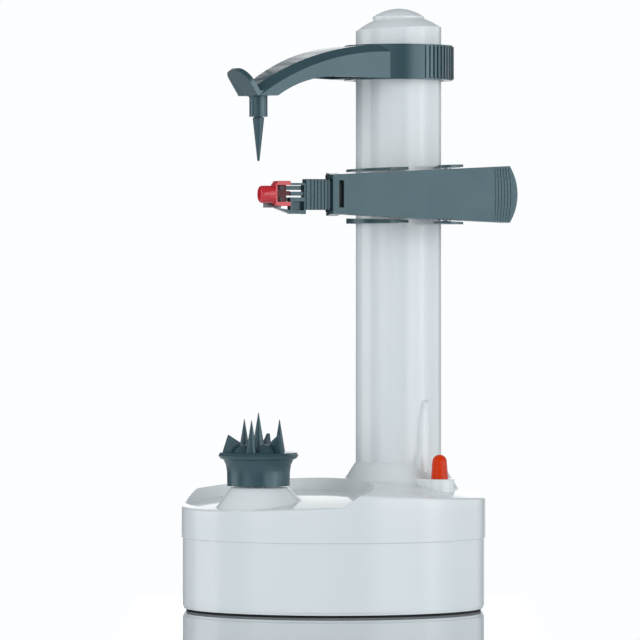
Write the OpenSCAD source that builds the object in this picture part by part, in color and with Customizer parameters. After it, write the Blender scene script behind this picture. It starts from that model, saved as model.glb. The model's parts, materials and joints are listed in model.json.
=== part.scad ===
// Electric potato peeler: an oval base with a motor and gears, a spiked holder that turns the food,
// a column with a lead screw that carries the peeling lever, and an upper arm with a centre pin.
// Millimetres. +Z is up, +X runs along the base's long axis, the origin is the middle of its underside.

/* [Layout] */
// Food axis, from the middle of the base along X
food_x = -35.7; // [-37:0.1:-34.5]
// Food axis, from the middle of the base along Y
food_y = -25; // [-26:0.1:-23.5]
// Column axis, from the middle of the base along X
column_x = 31.5; // [30:0.1:33]
// Column axis, from the middle of the base along Y
column_y = 19.5; // [18.5:0.1:20.5]

/* [Base] */
// Length of the oval base
base_len = 146; // [142:0.5:156]
// Width of the oval base
base_wid = 109; // [106:0.5:118]
// Wall of both shells
base_wall = 2.4; // [1.8:0.1:3]
// How far the rubber ring lifts the base
foot_h = 1.2; // [0.8:0.1:2]
// Width of the rubber ring
foot_w = 4.2; // [3:0.1:6]
// Height of the seam between the two shells
seam_z = 34.9; // [34:0.1:36]
// How much the lower shell is set back at the seam
seam_step = 0.5; // [0.3:0.1:1]
// Radius of the domed top
crown_r = 366; // [330:1:420]
// Height of the top of the dome
crown_top = 62.8; // [62:0.1:65]

/* [Dish] */
// Radius of the rim of the catch dish
dish_r = 55.7; // [53:0.1:56]
// Radius of the floor of the catch dish
dish_floor_r = 49; // [46:0.1:51]
// Height of the dish floor on the food axis
dish_z = 52.6; // [52:0.1:54]
// Radius of the domed dish floor
dish_dome_r = 714; // [500:1:1000]
// Height of the boss under the food holder
boss_z = 60.4; // [59.6:0.1:61.4]
// Radius of the boss at its top
boss_r = 13.4; // [12:0.1:14.5]
// Radius of the boss at the dish floor
boss_foot_r = 19.8; // [18:0.1:21]

/* [Column] */
// Outside diameter of the column
column_d = 41.6; // [40:0.1:43]
// Wall of the column tube
column_wall = 2.2; // [1.6:0.1:3]
// Height of the joint between the column tube and its cap
cap_seam_z = 271; // [269:0.1:273]
// Height of the shoulder above the tube's end
cap_shoulder_h = 13.5; // [12:0.1:15]
// Radius of the domed shoulder of the cap
cap_shoulder_r = 33.5; // [30:0.1:40]
// Diameter of the small dome on the cap
cap_button_d = 25.2; // [22:0.1:28]
// Height of the step around the small dome
cap_step_h = 1.1; // [0.6:0.1:2]
// Rise of the small dome
cap_button_h = 4.2; // [3:0.1:6]
// How far the column's foot spreads beyond the tube
flare_out = 4.1; // [3:0.1:5]
// Height of the corner of the column's foot
flare_z = 64.3; // [64:0.1:66]
// Height of the sloping part of the column's foot
flare_h = 5.3; // [4:0.1:8]
// Width of the slot in the back of the tube
slot_w = 9; // [7:0.1:11]
// Height of the fin above the shell's dome
fin_h = 38; // [30:0.5:50]
// Width of the fin at its foot
fin_w = 7.2; // [5:0.1:9]
// How far the fin stands out of the tube
fin_out = 3.2; // [2:0.1:4]

/* [Start button] */
// Distance from the column axis to the button
button_gap = 35.2; // [33.5:0.1:36]
// Direction of the button from the column axis, in degrees
button_dir = -57; // [-60:1:-54]
// Height of the top of the pad
pad_z = 63.4; // [62.8:0.1:65]
// Radius of the pad around the button
pad_r = 7.1; // [6.6:0.1:9]
// Radius of the button at the pad
button_r = 4.1; // [3.6:0.1:4.6]
// Radius of the button's round top
button_tip_r = 3.5; // [3:0.1:3.6]
// Height of the button above the pad
button_h = 11.6; // [9:0.1:14]
// Travel of the button
button_travel = 2; // [1:0.1:3]

/* [Food holder] */
// Radius of the holder at its foot
holder_r = 14.9; // [14:0.1:16]
// Radius of the holder under its rim
holder_neck_r = 16.7; // [16:0.1:18]
// Radius of the rim
holder_rim_r = 19.1; // [18.5:0.1:21]
// Height of the holder to the top of its rim
holder_h = 16; // [14:0.1:18]
// Height of the middle spike above the rim
spike_mid_h = 18.6; // [15:0.1:22]
// Height of the three outer spikes above the rim
spike_h = 15.3; // [12:0.1:18]
// Distance of the outer spikes from the axis
spike_ring_r = 10.2; // [9:0.1:11]
// Radius of a spike at its foot
spike_r = 2.9; // [1.8:0.1:3.2]
// Height of the three fins above the rim
holder_fin_h = 8.3; // [6:0.1:10]
// Thickness of the three fins
holder_fin_t = 1.6; // [1.2:0.1:2.4]
// Radius of the low mounds between the spikes
mound_r = 5.4; // [4:0.1:6]

/* [Upper arm] */
// Height of the underside of the collar
collar_z = 254.7; // [254.2:0.1:255]
// Height of the collar
collar_h = 16.8; // [15.6:0.1:17.4]
// Outside radius of the collar
collar_r = 26.2; // [25.5:0.1:28]
// Height of the grip ribs on the collar
grip_rib = 0.6; // [0.4:0.1:1]
// Number of grip ribs on the collar
grip_ribs = 36; // [20:1:40]
// Radius of the arch along the arm's top
arch_r = 118; // [110:1:140]
// Height of the arm's end above its tip's underside
tip_drop = 9.6; // [8:0.1:11]
// Width of the arm at its tip
tip_w = 17; // [15:0.1:20]
// Length of the finger plate
finger_len = 14; // [11:0.1:17]
// Slope of the finger plate, in degrees
finger_slope = 56; // [45:1:65]
// Thickness of the finger plate
finger_t = 2.4; // [1.8:0.1:3.2]
// Radius of the finger plate's top corner on the arm's far side
finger_corner = 4.2; // [2:0.1:6]
// Radius of the finger plate's top corner on the arm's near side
finger_round = 8; // [5:0.1:8.5]
// Width of the bevel along the arm's two top edges
arm_bevel = 3.4; // [2:0.1:4]
// Where the arm's sides meet the collar, in degrees from its middle line
arm_spread = 49; // [42:1:56]
// Wall of the arm
arm_wall = 2.4; // [1.8:0.1:3]
// Radius of the boss that holds the centre pin
pin_boss_r = 4.35; // [4:0.05:4.9]
// Length of that boss
pin_boss_h = 9.9; // [8:0.1:12]
// Radius of the centre pin's shank
pin_r = 2; // [1.6:0.1:2.4]
// Radius of the centre pin's spike
pin_spike_r = 2.7; // [2.4:0.1:3.2]
// Length of the centre pin's spike
pin_spike_h = 20.7; // [17:0.1:23]
// How far the arm slides down from where it stands
arm_drop = 38; // [30:1:38]
// How far the arm slides up from where it stands
arm_rise = 4; // [2:0.5:4]

/* [Peeling lever] */
// Height of the middle of the lever
lever_z = 199.1; // [198:0.1:200]
// Pivot of the lever, to the right of the column axis
pivot_dx = 22.5; // [21.5:0.1:24]
// Pivot of the lever, in front of the column axis
pivot_dy = 27.5; // [26.5:0.1:29]
// Direction of the closed lever, in degrees
lever_turn = 18; // [17:0.5:20]
// From the pivot to the lever's mouth
lever_left = 58.8; // [57:0.1:60]
// From the pivot to the corner of the grip end
lever_right = 30.8; // [27:0.1:34]
// How far the grip end bulges
lever_bulge = 3.4; // [2:0.1:5]
// Number of curved ridges at the lever's pressed end
grip_ridges = 6; // [3:1:6]
// Pitch of those ridges
grip_pitch = 1.35; // [1.2:0.05:1.8]
// Thickness of the lever
lever_t = 11; // [10:0.1:12]
// Wall of the lever
lever_wall = 2; // [1.6:0.1:2.4]
// Height of the lever at its mouth
lever_h_left = 18.7; // [18.4:0.1:19.2]
// Height of the lever at its grip end
lever_h_right = 27.3; // [26:0.1:28.4]
// Radius of the pivot pin
pivot_r = 2; // [1.6:0.1:2.4]
// How far the lever swings out, in degrees
lever_swing = 35; // [25:1:38]
// How far the carriage travels down
carriage_travel = 95; // [80:1:95]
// Ring of the carriage, beyond the column
carriage_ring = 4.6; // [4:0.1:5.4]
// Thickness of the carriage's plates
plate_t = 1.2; // [1:0.1:1.8]

/* [Cutter] */
// Length of the ribbed sleeve outside the lever
sleeve_len = 12.6; // [11:0.1:15]
// Height of the ribbed sleeve
sleeve_h = 14.6; // [13.6:0.1:14.9]
// Thickness of the ribbed sleeve
sleeve_t = 6.6; // [6:0.1:8.6]
// Number of ribs on the sleeve
sleeve_ribs = 6; // [5:1:12]
// Length of the fork in front of the sleeve
fork_len = 7.2; // [6.6:0.1:8]
// Length of the red guard's box
guard_len = 7.4; // [6.6:0.1:9]
// Length of the guard's round nose
nose_len = 7; // [6:0.1:7.4]
// Height of the guard's box
guard_h = 11.9; // [11.6:0.1:12.4]
// Height of the guard's nose
nose_h = 8.3; // [7.6:0.1:9]
// Thickness of the blade
blade_t = 0.5; // [0.4:0.05:0.7]
// How far the cutter pulls out of the lever
cutter_travel = 10; // [6:0.5:11]

/* [Drive] */
// Radius of the spindle
spindle_r = 4; // [3.5:0.1:4.5]
// Radius of the lead screw
screw_r = 4; // [3.5:0.1:4.5]
// Pitch of the lead screw's thread
screw_pitch = 4; // [3:0.5:6]
// Depth of the lead screw's thread
thread_depth = 0.7; // [0.4:0.1:0.9]
// Teeth of the spindle gear
spindle_teeth = 20; // [18:1:21]
// Teeth of the transfer gear's pinion
transfer_teeth = 32; // [31:1:33]
// Teeth of the lead-screw gear
screw_teeth = 28; // [27:1:29]
// Teeth of the transfer gear's wheel
wheel_teeth = 44; // [42:1:46]
// Teeth of the motor pinion
motor_teeth = 12; // [12:1:14]
// Module of the spindle's gears
big_module = 1.5; // [1.5:0.01:1.54]
// Module of the motor's gears
small_module = 1; // [0.9:0.05:1.1]
// Face width of the spindle's gears
gear_t = 6; // [4.5:0.1:6.5]
// Face width of the motor's gears
wheel_t = 4; // [3:0.1:4.5]
// Height of the top of the gear plate
gear_plate_z = 32.5; // [31:0.1:33]
// Thickness of the gear plate
gear_plate_t = 2.5; // [2:0.1:3]
// Radius of the motor
motor_r = 12; // [10:0.1:12.5]
// Height of the motor
motor_h = 24; // [20:0.5:24.5]

/* [Batteries] */
// Diameter of a battery cell
cell_d = 14.5; // [14:0.1:14.8]
// Length of a battery cell
cell_len = 50.5; // [49:0.1:51]
// Thickness of the battery door
door_t = 1.6; // [1.2:0.1:2]
// Middle of the battery bay, from the middle of the base along X
bay_x = -26; // [-27:0.1:-25]

/* [Hidden] */
$fn = 72;

WHITE = [0.93, 0.94, 0.95];
TEAL = [0.33, 0.42, 0.46];
DARK = [0.16, 0.18, 0.2];
RED = [0.8, 0.16, 0.18];
ORANGE = [0.92, 0.3, 0.12];
STEEL = [0.72, 0.74, 0.76];
NYLON = [0.88, 0.86, 0.8];
BRASS = [0.78, 0.64, 0.34];
GREEN = [0.12, 0.4, 0.24];

// Clearances
touch = 0.02;
fit_gap = 0.1;
run_gap = 0.05;
free_gap = 0.3;
over = 1;

food = [food_x, food_y];
column = [column_x, column_y];
column_r = column_d / 2;
column_bore_r = column_r - column_wall;

// The dome of the base leans towards the dish: its middle lies behind the base's own
dome_x = -4.9;
dome_y = 6.9;
crown_c = [dome_x, dome_y, crown_top - crown_r];

// The dish is turned about the line from the dome's centre through the food axis at floor height
dish_v = [food_x, food_y, dish_z] - crown_c;
dish_lean = atan2(norm([dish_v[0], dish_v[1]]), dish_v[2]);
dish_dir = atan2(dish_v[1], dish_v[0]);
dish_rim_w = sqrt(pow(crown_r, 2) - pow(dish_r, 2)) - norm(dish_v);
dish_floor_w = sqrt(pow(dish_dome_r, 2) - pow(dish_floor_r, 2)) - dish_dome_r;
dish_slope = (dish_r - dish_floor_r) / (dish_rim_w - dish_floor_w);
boss_slope = (boss_foot_r - boss_r) / (boss_z - dish_z);

button = column + button_gap * [cos(button_dir), sin(button_dir)];
button_bore_r = button_r + free_gap;
button_flange_r = button_bore_r + 1.1;

// Gears: the transfer gear stands where it meshes with both the spindle gear and the lead-screw gear
PRESSURE = 20;
spindle_pitch_r = spindle_teeth * big_module / 2;
transfer_pitch_r = transfer_teeth * big_module / 2;
screw_pitch_r = screw_teeth * big_module / 2;
wheel_pitch_r = wheel_teeth * small_module / 2;
motor_pitch_r = motor_teeth * small_module / 2;
food_transfer = spindle_pitch_r + transfer_pitch_r;
transfer_column = transfer_pitch_r + screw_pitch_r;
axis_line = column - food;
axis_gap = norm(axis_line);
along = (pow(food_transfer, 2) - pow(transfer_column, 2) + pow(axis_gap, 2)) / (2 * axis_gap);
aside = sqrt(max(0.01, pow(food_transfer, 2) - pow(along, 2)));
line_u = axis_line / axis_gap;
transfer = food + along * line_u + aside * [line_u[1], -line_u[0]];
motor_dir = -40;
motor_at = transfer + (wheel_pitch_r + motor_pitch_r) * [cos(motor_dir), sin(motor_dir)];
gear_z = gear_plate_z + 1.5;
wheel_z = gear_z + gear_t + 1;
gear_under_z = gear_plate_z - gear_plate_t;
spindle_phase = 0;
transfer_phase = mesh_phase(food, transfer, spindle_teeth, spindle_phase, transfer_teeth);
screw_phase = mesh_phase(transfer, column, transfer_teeth, transfer_phase, screw_teeth);
motor_phase = mesh_phase(transfer, motor_at, wheel_teeth, 0, motor_teeth);

// Battery bay: four cells side by side, lying across the base
cell_pitch = cell_d + 0.5;
bay_w = 4 * cell_pitch;
bay_l = cell_len + 3.5;
bay_wall = 1.6;
bay_floor_z = foot_h + base_wall;
cell_z = bay_floor_z + 0.8 + cell_d / 2;
bay_top_z = cell_z + cell_d / 2 + 0.6;
door_w = bay_w - 2;
door_l = bay_l - 2;
door_gap = 0.5;
door_top_z = foot_h + 0.3 + door_t;
bay_y = [-bay_l / 2, bay_l / 2];
hinge_r = 0.9;
hinge_z = foot_h + 1.3;
hinge_y = -door_l / 2 + 1;

// Screw posts of the two shells
post_r = 3.2;
post_inset = 10.5;
post_pts = [for (a = [-100, 115, -33, 20])
    [(base_len / 2 - post_inset) * cos(a), (base_wid / 2 - post_inset) * sin(a)]];
floor_post_pts = [column + [11, -8], transfer + [11, 7]];
roof_post_pts = [food + [4, 13]];
plate_post_pts = concat(floor_post_pts, roof_post_pts);

// Upper arm
arm_dir = atan2(food_y - column_y, food_x - column_x);
reach = axis_gap;
arm_top_z = collar_z + collar_h - 0.4;
arch_start = 18.5;
GRIP_START = 84;
tip_top_z = arch_z(reach);
tip_z = collar_z + 0.7 - tip_drop;
belly_s = reach * 0.57;
belly_r = 52;
belly_end = belly_s + sqrt(pow(belly_r, 2) - pow(belly_r - tip_drop, 2));
liner_t = 0.8;
collar_bore_r = column_r + free_gap + liner_t;
tip_half = tip_w / 2;
tip_end = reach + 5.8;
pin_bore_r = pin_r + run_gap;
pin_top_z = min(tip_z + 4, arch_z(reach + 4.2) - 1.3);
pin_boss_z = tip_z - pin_boss_h;

// Peeling lever
pivot = column + [pivot_dx, -pivot_dy];
lever_front = -lever_t / 2;
lever_back = lever_t / 2;
lever_low_left = lever_z - lever_h_left / 2 + 0.05;
lever_top_left = lever_z + lever_h_left / 2 + 0.05;
lever_low_right = lever_z - lever_h_right / 2 + 0.3;
lever_top_right = lever_z + lever_h_right / 2 + 0.3;
lug_r = 8;
carriage_r = column_r + carriage_ring;
carriage_bore_r = column_r + free_gap;
plate_gap = 0.55;
plate_low_x = column_x - carriage_r;
plate_high_x = pivot[0] + lug_r;
lid_z = [lever_top(plate_low_x) + plate_gap + 1, lever_top(plate_high_x) + plate_gap];
sill_z = [lever_low(plate_low_x) - plate_gap - 0.8, lever_low(plate_high_x) - plate_gap];
key_w = slot_w - 2 * free_gap;
key_z = [lever_z - 9, lever_z + 9];
slot_z = [key_z[0] - carriage_travel - 1.5, key_z[1] + 1.5];
mouth_len = 5.5;
mouth_flare_h = 0.9;

// Cutter, measured along the lever from the pivot towards the food
sleeve_x = -lever_left - sleeve_len;
fork_x = sleeve_x - fork_len;
guard_x1 = fork_x - 0.8;
guard_x0 = guard_x1 - guard_len;
nose_x = guard_x0 - nose_len;
guard_t = 8;
guard_wall = 2;
cutter_z = lever_z - 0.1;
stem_len = 12.5;
stem_t = 5.6;
stem_h = 12.8;
guard_mid = cutter_z + 0.4;
pin_xs = fork_x - 4.9;
pin_dz = 2.75;

holder_z = boss_z + 0.5;
holder_top_z = holder_z + holder_h;
SPIKE_DIR = 12;
FIN_DIR = -48;

screw_low_z = gear_under_z - 3;
screw_top_z = cap_seam_z - 3;

// Points of an oval with the given length and width
OVAL_STEP = 3;
function oval(l, w) = [for (a = [0:OVAL_STEP:360 - OVAL_STEP]) [l / 2 * cos(a), w / 2 * sin(a)]];

// Involute gear outline
function inv(a) = tan(a) * 180 / PI - a;
function flank(r, rb) = inv(PRESSURE) - inv(acos(min(1, rb / r)));
function gear_points(n, m, lash) =
    let (rp = n * m / 2, rb = rp * cos(PRESSURE), ra = rp + 0.75 * m, rr = rp - 1.05 * m,
        r0 = max(rb, rr + 0.02), half = 90 / n - lash / rp * 180 / PI,
        rs = [for (i = [0:3]) r0 + (ra - r0) * i / 3],
        side = concat([[rr, half + flank(r0, rb)]], [for (r = rs) [r, half + flank(r, rb)]]),
        last = len(side) - 1)
    [for (k = [0:n - 1]) for (p = concat([for (i = [0:last]) [side[i][0], -side[i][1]]],
        [for (i = [0:last]) side[last - i]])) p[0] * [cos(360 * k / n + p[1]), sin(360 * k / n + p[1])]];

// The angle at which a gear of n2 teeth at p2 meshes with a gear of n1 teeth at p1
function mesh_phase(p1, p2, n1, phase1, n2) =
    let (a = atan2(p2[1] - p1[1], p2[0] - p1[0]))
    a + 180 + 360 / n2 * (0.5 - (phase1 - a) * n1 / 360);

// Height of the arm's arched top at distance s from the column
function arch_z(s) = arm_top_z - arch_r + sqrt(pow(arch_r, 2) - pow(s - arch_start, 2));
function belly_z(s) = tip_z + tip_drop - belly_r + sqrt(pow(belly_r, 2) - pow(s - belly_s, 2));

// Edges of the lever's face at a place along X
function lever_share(x) = ((x - pivot[0]) / cos(lever_turn) + lever_left) / (lever_left + lever_right);
function lever_top(x) = lever_top_left + (lever_top_right - lever_top_left) * lever_share(x);
function lever_low(x) = lever_low_left + (lever_low_right - lever_low_left) * lever_share(x);

module rod(r, z0, z1) { translate([0, 0, z0]) cylinder(h = z1 - z0, r = r); }
module ring(ro, ri, z0, z1) { difference() { rod(ro, z0, z1); rod(ri, z0 - over, z1 + over); } }
module block(lo, hi) { translate(lo) cube(hi - lo); }
module at(p) { translate([p[0], p[1], 0]) children(); }
module at_dish() { translate([food_x, food_y, dish_z]) rotate([0, dish_lean, dish_dir]) children(); }
module at_arm() { at(column) rotate([0, 0, arm_dir]) children(); }
module at_lever() { at(pivot) rotate([0, 0, lever_turn]) children(); }
module across(y0, y1) { translate([0, y1, 0]) rotate([90, 0, 0]) linear_extrude(y1 - y0) children(); }
module oval_prism(inset, z0, z1) {
    translate([0, 0, z0]) linear_extrude(z1 - z0) polygon(oval(base_len - 2 * inset, base_wid - 2 * inset));
}
module gear(n, m, t, z, phase, lash) {
    translate([0, 0, z]) rotate([0, 0, phase]) linear_extrude(t) polygon(gear_points(n, m, lash));
}

// A plate outline around two circles, with its straight sides tangent to both
module strap(p1, r1, p2, r2) {
    d = p2 - p1;
    a = atan2(d[1], d[0]);
    b = acos((r1 - r2) / norm(d));
    translate(p1) circle(r1);
    translate(p2) circle(r2);
    polygon([p1 + r1 * [cos(a + b), sin(a + b)], p2 + r2 * [cos(a + b), sin(a + b)],
        p2 + r2 * [cos(a - b), sin(a - b)], p1 + r1 * [cos(a - b), sin(a - b)]]);
}

// ---- Base ----

module crown_ball(inset) { translate(crown_c) sphere(crown_r - inset, $fn = 240); }

// The space of the catch dish, grown by a wall where the shell's inside follows it
module dish_space(grow) {
    side = grow * sqrt(1 + pow(dish_slope, 2));
    low = dish_floor_w - grow - 2;
    high = dish_rim_w + 12;
    at_dish() difference() {
        translate([0, 0, low]) cylinder(h = high - low, $fn = 180,
            r1 = dish_floor_r + side + (low - dish_floor_w) * dish_slope,
            r2 = dish_floor_r + side + (high - dish_floor_w) * dish_slope);
        translate([0, 0, -dish_dome_r]) sphere(dish_dome_r - grow, $fn = 360);
    }
}

module boss_cone(grow, drop) {
    h = boss_z - dish_z + 4;
    at_dish() translate([0, 0, -drop]) cylinder(h = h + drop,
        r1 = boss_foot_r - grow + drop * boss_slope, r2 = boss_foot_r - grow - h * boss_slope);
}

module pad_shape(z0, z1) {
    at(button) rod(pad_r, z0, z1);
    at(column) rotate([0, 0, button_dir]) block([0, 0.2 - pad_r, z0], [button_gap, pad_r - 0.2, z1]);
}

// The foot of the column keeps its slope down to the dome, and stops short of the dish
module flare_skirt() {
    slope = (flare_out - 0.7) / flare_h;
    drop = flare_z - crown_top + 5.5;
    difference() {
        translate([0, 0, flare_z - drop])
            cylinder(h = drop, r1 = column_r + flare_out - 0.3 + drop * slope,
                r2 = column_r + flare_out - 0.3);
        at(food - column) rod(dish_r + 0.8, 0, crown_top * 2);
    }
}

module upper_outside() {
    difference() {
        intersection() { oval_prism(0, seam_z, crown_top + 5); crown_ball(0); }
        dish_space(0);
    }
    intersection() { boss_cone(0, 3); rod(base_len, dish_z - 10, boss_z); }
    at(column) {
        rod(column_r + flare_out, crown_top - 8, flare_z);
        flare_skirt();
        translate([0, 0, flare_z - touch]) cylinder(h = flare_h, r1 = column_r + flare_out,
            r2 = column_r + 0.7);
    }
    difference() {
        pad_shape(crown_top - 10, pad_z);
        at(column) rod(column_r, 0, crown_top * 2);
    }
}

module upper_inside() {
    difference() {
        intersection() { oval_prism(base_wall, seam_z - over, crown_top); crown_ball(base_wall); }
        dish_space(base_wall);
        at(food) rod(spindle_r + 5, dish_z - 6, crown_top);
        at(column) rod(column_r + base_wall, crown_top - 8, crown_top);
        at(button) rod(button_bore_r + 2, crown_top - 10, crown_top);
        for (p = post_pts) at(p) rod(post_r, seam_z + 1, crown_top);
        for (y = [-8, 8]) at(board_c + [board_hole_x, y]) rod(2.2, board_z, crown_top);
    }
}

module upper_shell() color(WHITE) {
    difference() {
        upper_outside();
        upper_inside();
        at(food) rod(spindle_r + 2.6 + fit_gap / 2, dish_z - 12, crown_top * 2);
        difference() {
            intersection() { boss_cone(base_wall, 2.6); rod(base_len, seam_z, boss_z - base_wall); }
            at(food) rod(spindle_r + 5, 0, crown_top);
        }
        at(column) rod(column_r + fit_gap / 2, crown_top - 6, crown_top * 2);
        at(column) rod(column_bore_r - 2, crown_top - 12, crown_top);
        at(button) rod(button_bore_r, crown_top - 16, pad_z + over);
        for (p = post_pts) at(p) rod(1.3, seam_z, seam_z + 10);
        for (y = [-8, 8]) at(board_c + [board_hole_x, y]) rod(0.9, board_z - over, board_z + 6);
    }
}

module door_hole() {
    block([bay_x - door_w / 2 - door_gap, -door_l / 2 - door_gap, -over],
        [bay_x + door_w / 2 + door_gap, door_l / 2 + door_gap, bay_floor_z + over]);
}

module lower_shell() color(WHITE) {
    difference() {
        union() {
            difference() {
                union() {
                    oval_prism(seam_step + 0.6, foot_h, foot_h + 1.2);
                    oval_prism(seam_step, foot_h + 1.2, seam_z);
                    oval_prism(base_wall + fit_gap, seam_z, seam_z + 3);
                }
                oval_prism(seam_step + base_wall, bay_floor_z, seam_z);
                oval_prism(base_wall + fit_gap + 1.3, seam_z - over, seam_z + 4);
            }
            difference() {
                block([bay_x - bay_w / 2 - bay_wall, bay_y[0] - bay_wall, foot_h + over],
                    [bay_x + bay_w / 2 + bay_wall, bay_y[1] + bay_wall, bay_top_z + bay_wall]);
                block([bay_x - bay_w / 2, bay_y[0], -over], [bay_x + bay_w / 2, bay_y[1], bay_top_z]);
            }
            for (p = post_pts) at(p) rod(post_r, foot_h + over, seam_z + 1);
            for (p = floor_post_pts) at(p) rod(3, bay_floor_z - 1, gear_under_z);
            for (p = roof_post_pts) at(p) rod(3, bay_top_z + 0.4, gear_under_z);
            at([0, jack_y]) block([-7, -jack_depth, jack_z - 6.5], [7, 2, jack_z + 6.5]);
        }
        translate([0, 0, -touch]) foot_groove();
        door_hole();
        for (p = post_pts) at(p) { rod(1.7, 0, seam_z + 2); rod(3, 0, foot_h + 3); }
        for (p = plate_post_pts) at(p) rod(1.1, gear_under_z - 8, gear_under_z + over);
        at(food) rod(spindle_pitch_r + big_module + 1, gear_z - 1.2, seam_z + 4);
        at([0, jack_y]) block([-5, -jack_depth - over, jack_z - 5.2], [5, -1.6, jack_z + 5.2]);
        translate([0, base_wid / 2 + over, jack_z]) rotate([90, 0, 0]) cylinder(h = 12, r = jack_r);
        for (x = [-1, 1]) translate([bay_x + x * (door_w / 2 - 3), hinge_y, hinge_z])
            rotate([0, x * 90, 0]) cylinder(h = 6, r = hinge_r - 0.1 + run_gap);
    }
}

foot_inset = 2.2;
groove_h = 0.7;
module foot_groove() {
    difference() {
        oval_prism(foot_inset - fit_gap, 0, foot_h + groove_h);
        oval_prism(foot_inset + foot_w + fit_gap, -over, foot_h + groove_h + over);
    }
}

module foot_ring() color(DARK) difference() {
    oval_prism(foot_inset, 0, foot_h + groove_h - fit_gap);
    oval_prism(foot_inset + foot_w, -over, foot_h + groove_h + over);
}

// The door turns on two pins at its front edge and snaps shut at the back
module battery_door() color(WHITE) {
    difference() {
        block([bay_x - door_w / 2, hinge_y, foot_h + 0.3], [bay_x + door_w / 2, door_l / 2, door_top_z]);
        for (x = [-1:1]) block([bay_x + x * 6 - 1, door_l / 2 - 9, foot_h], [bay_x + x * 6 + 1,
            door_l / 2 - 4, foot_h + 0.8]);
    }
    translate([bay_x - door_w / 2, hinge_y, hinge_z]) rotate([0, 90, 0]) cylinder(h = door_w, r = hinge_r);
    for (x = [-1, 1]) translate([bay_x + x * (door_w / 2 - 2.5), hinge_y, hinge_z])
        rotate([0, x * 90, 0]) cylinder(h = 2.5 + door_gap + 0.9, r = hinge_r - 0.1);
    block([bay_x - 2, door_l / 2 - 2, door_top_z - 0.2], [bay_x + 2, door_l / 2 - 0.8, door_top_z + 2.2]);
}

module screw(r, head_r, head_h, z0, z1) { rod(r, z0, z1); rod(head_r, z0, z0 + head_h); }

module shell_screws() color(STEEL) for (p = post_pts) at(p) difference() {
    screw(1.3, 2.6, 1.6, foot_h + 1.2, seam_z + 9);
    block([-1.8, -0.3, 0], [1.8, 0.3, foot_h + 2]);
    block([-0.3, -1.8, 0], [0.3, 1.8, foot_h + 2]);
}

module cell(turn) rotate([turn, 0, 0]) {
    rod(cell_d / 2, -cell_len / 2, cell_len / 2 - 1.2);
    rod(2.6, cell_len / 2 - 1.3, cell_len / 2);
}

module batteries() color(BRASS)
    for (i = [0:3]) translate([bay_x + (i - 1.5) * cell_pitch, 0, cell_z]) cell(i % 2 == 0 ? 90 : -90);

contact_t = 0.4;
module battery_contacts() color(STEEL) for (i = [0:3]) for (y = [-1, 1])
    translate([bay_x + (i - 1.5) * cell_pitch, 0, cell_z])
        block([-5, min(y * bay_l / 2, y * (bay_l / 2 - contact_t)), -5],
            [5, max(y * bay_l / 2, y * (bay_l / 2 - contact_t)), 5]);

// ---- Power and start switch ----

jack_z = 18;
jack_y = base_wid / 2 - base_wall - seam_step;
jack_depth = 13;
jack_r = 3.3;
module dc_jack() color(DARK) translate([0, jack_y, jack_z]) {
    difference() {
        block([-4.9, -jack_depth, -5.1], [4.9, -1.7, 5.1]);
        rotate([90, 0, 0]) cylinder(h = jack_depth - 3, r = 2.9);
    }
    rotate([90, 0, 0]) translate([0, 0, 1.9]) cylinder(h = jack_depth - 3, r = 1);
}

board_z = 44.5;
board_t = 1.6;
board_hole_x = 4;
board_c = button + [0.5, 0.6];
module circuit_board() color(GREEN) {
    at(board_c) difference() {
        block([-7.5, -10, board_z - board_t], [7.5, 10, board_z]);
        for (y = [-8, 8]) at([board_hole_x, y]) rod(1, board_z - 3, board_z + 1);
    }
    at(board_c) for (x = [-4, 1]) for (y = [-6.5, 6]) at([x, y]) rod(1.6, board_z - board_t - 4,
        board_z - board_t);
}

switch_top_z = board_z + 3;
module start_switch() color(DARK) at(button) {
    block([-3, -3, board_z], [3, 3, switch_top_z]);
    rod(1.6, switch_top_z, switch_top_z + 0.8);
}

button_low_z = crown_top - 10 + 0.2;
module start_button() color(ORANGE) at(button) {
    rod(button_r, button_low_z - 2, pad_z);
    translate([0, 0, pad_z]) cylinder(h = button_h - button_tip_r, r1 = button_r, r2 = button_tip_r);
    translate([0, 0, pad_z + button_h - button_tip_r]) sphere(button_tip_r);
    rod(button_flange_r, button_low_z - 2, button_low_z - 0.2 - free_gap);
}

spring_wire = 0.35;
module coil(r, wire, z0, z1, turns) for (i = [0:turns - 1])
    translate([0, 0, z0 + wire + i * (z1 - z0 - 2 * wire) / (turns - 1)]) rotate_extrude()
        translate([r, 0]) circle(wire, $fn = 16);

module button_spring() color(STEEL) at(button) coil(2.6, spring_wire, switch_top_z, button_low_z - 2, 4);

// ---- Drive ----

module gear_plate() color(NYLON) difference() {
    translate([0, 0, gear_under_z]) linear_extrude(gear_plate_t) hull() {
        translate(food) circle(10, $fn = 32);
        translate(column) circle(11, $fn = 32);
        translate(transfer) circle(15, $fn = 32);
        translate(motor_at) circle(motor_r + 1, $fn = 32);
        for (p = roof_post_pts) translate(p) circle(4.2, $fn = 32);
    }
    at(food) rod(spindle_r + run_gap, 0, gear_plate_z + over);
    at(column) rod(screw_r + run_gap, 0, gear_plate_z + over);
    at(transfer) rod(axle_r, 0, gear_plate_z + over);
    at(motor_at) rod(4, 0, gear_plate_z + over);
    for (p = plate_post_pts) at(p) rod(1.3, 0, gear_plate_z + over);
}

module plate_screws() color(STEEL) for (p = plate_post_pts) at(p) {
    rod(1.1, gear_under_z - 7, gear_plate_z);
    rod(2.2, gear_plate_z, gear_plate_z + 1);
}

module motor() color(STEEL) at(motor_at) {
    difference() {
        union() {
            rod(motor_r, gear_under_z - motor_h, gear_under_z);
            rod(3.9, gear_under_z, gear_under_z + 1.5);
        }
        rod(1 + run_gap, gear_under_z - 8, gear_plate_z);
    }
    rod(3, gear_under_z - motor_h - 1, gear_under_z - motor_h);
}

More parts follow.
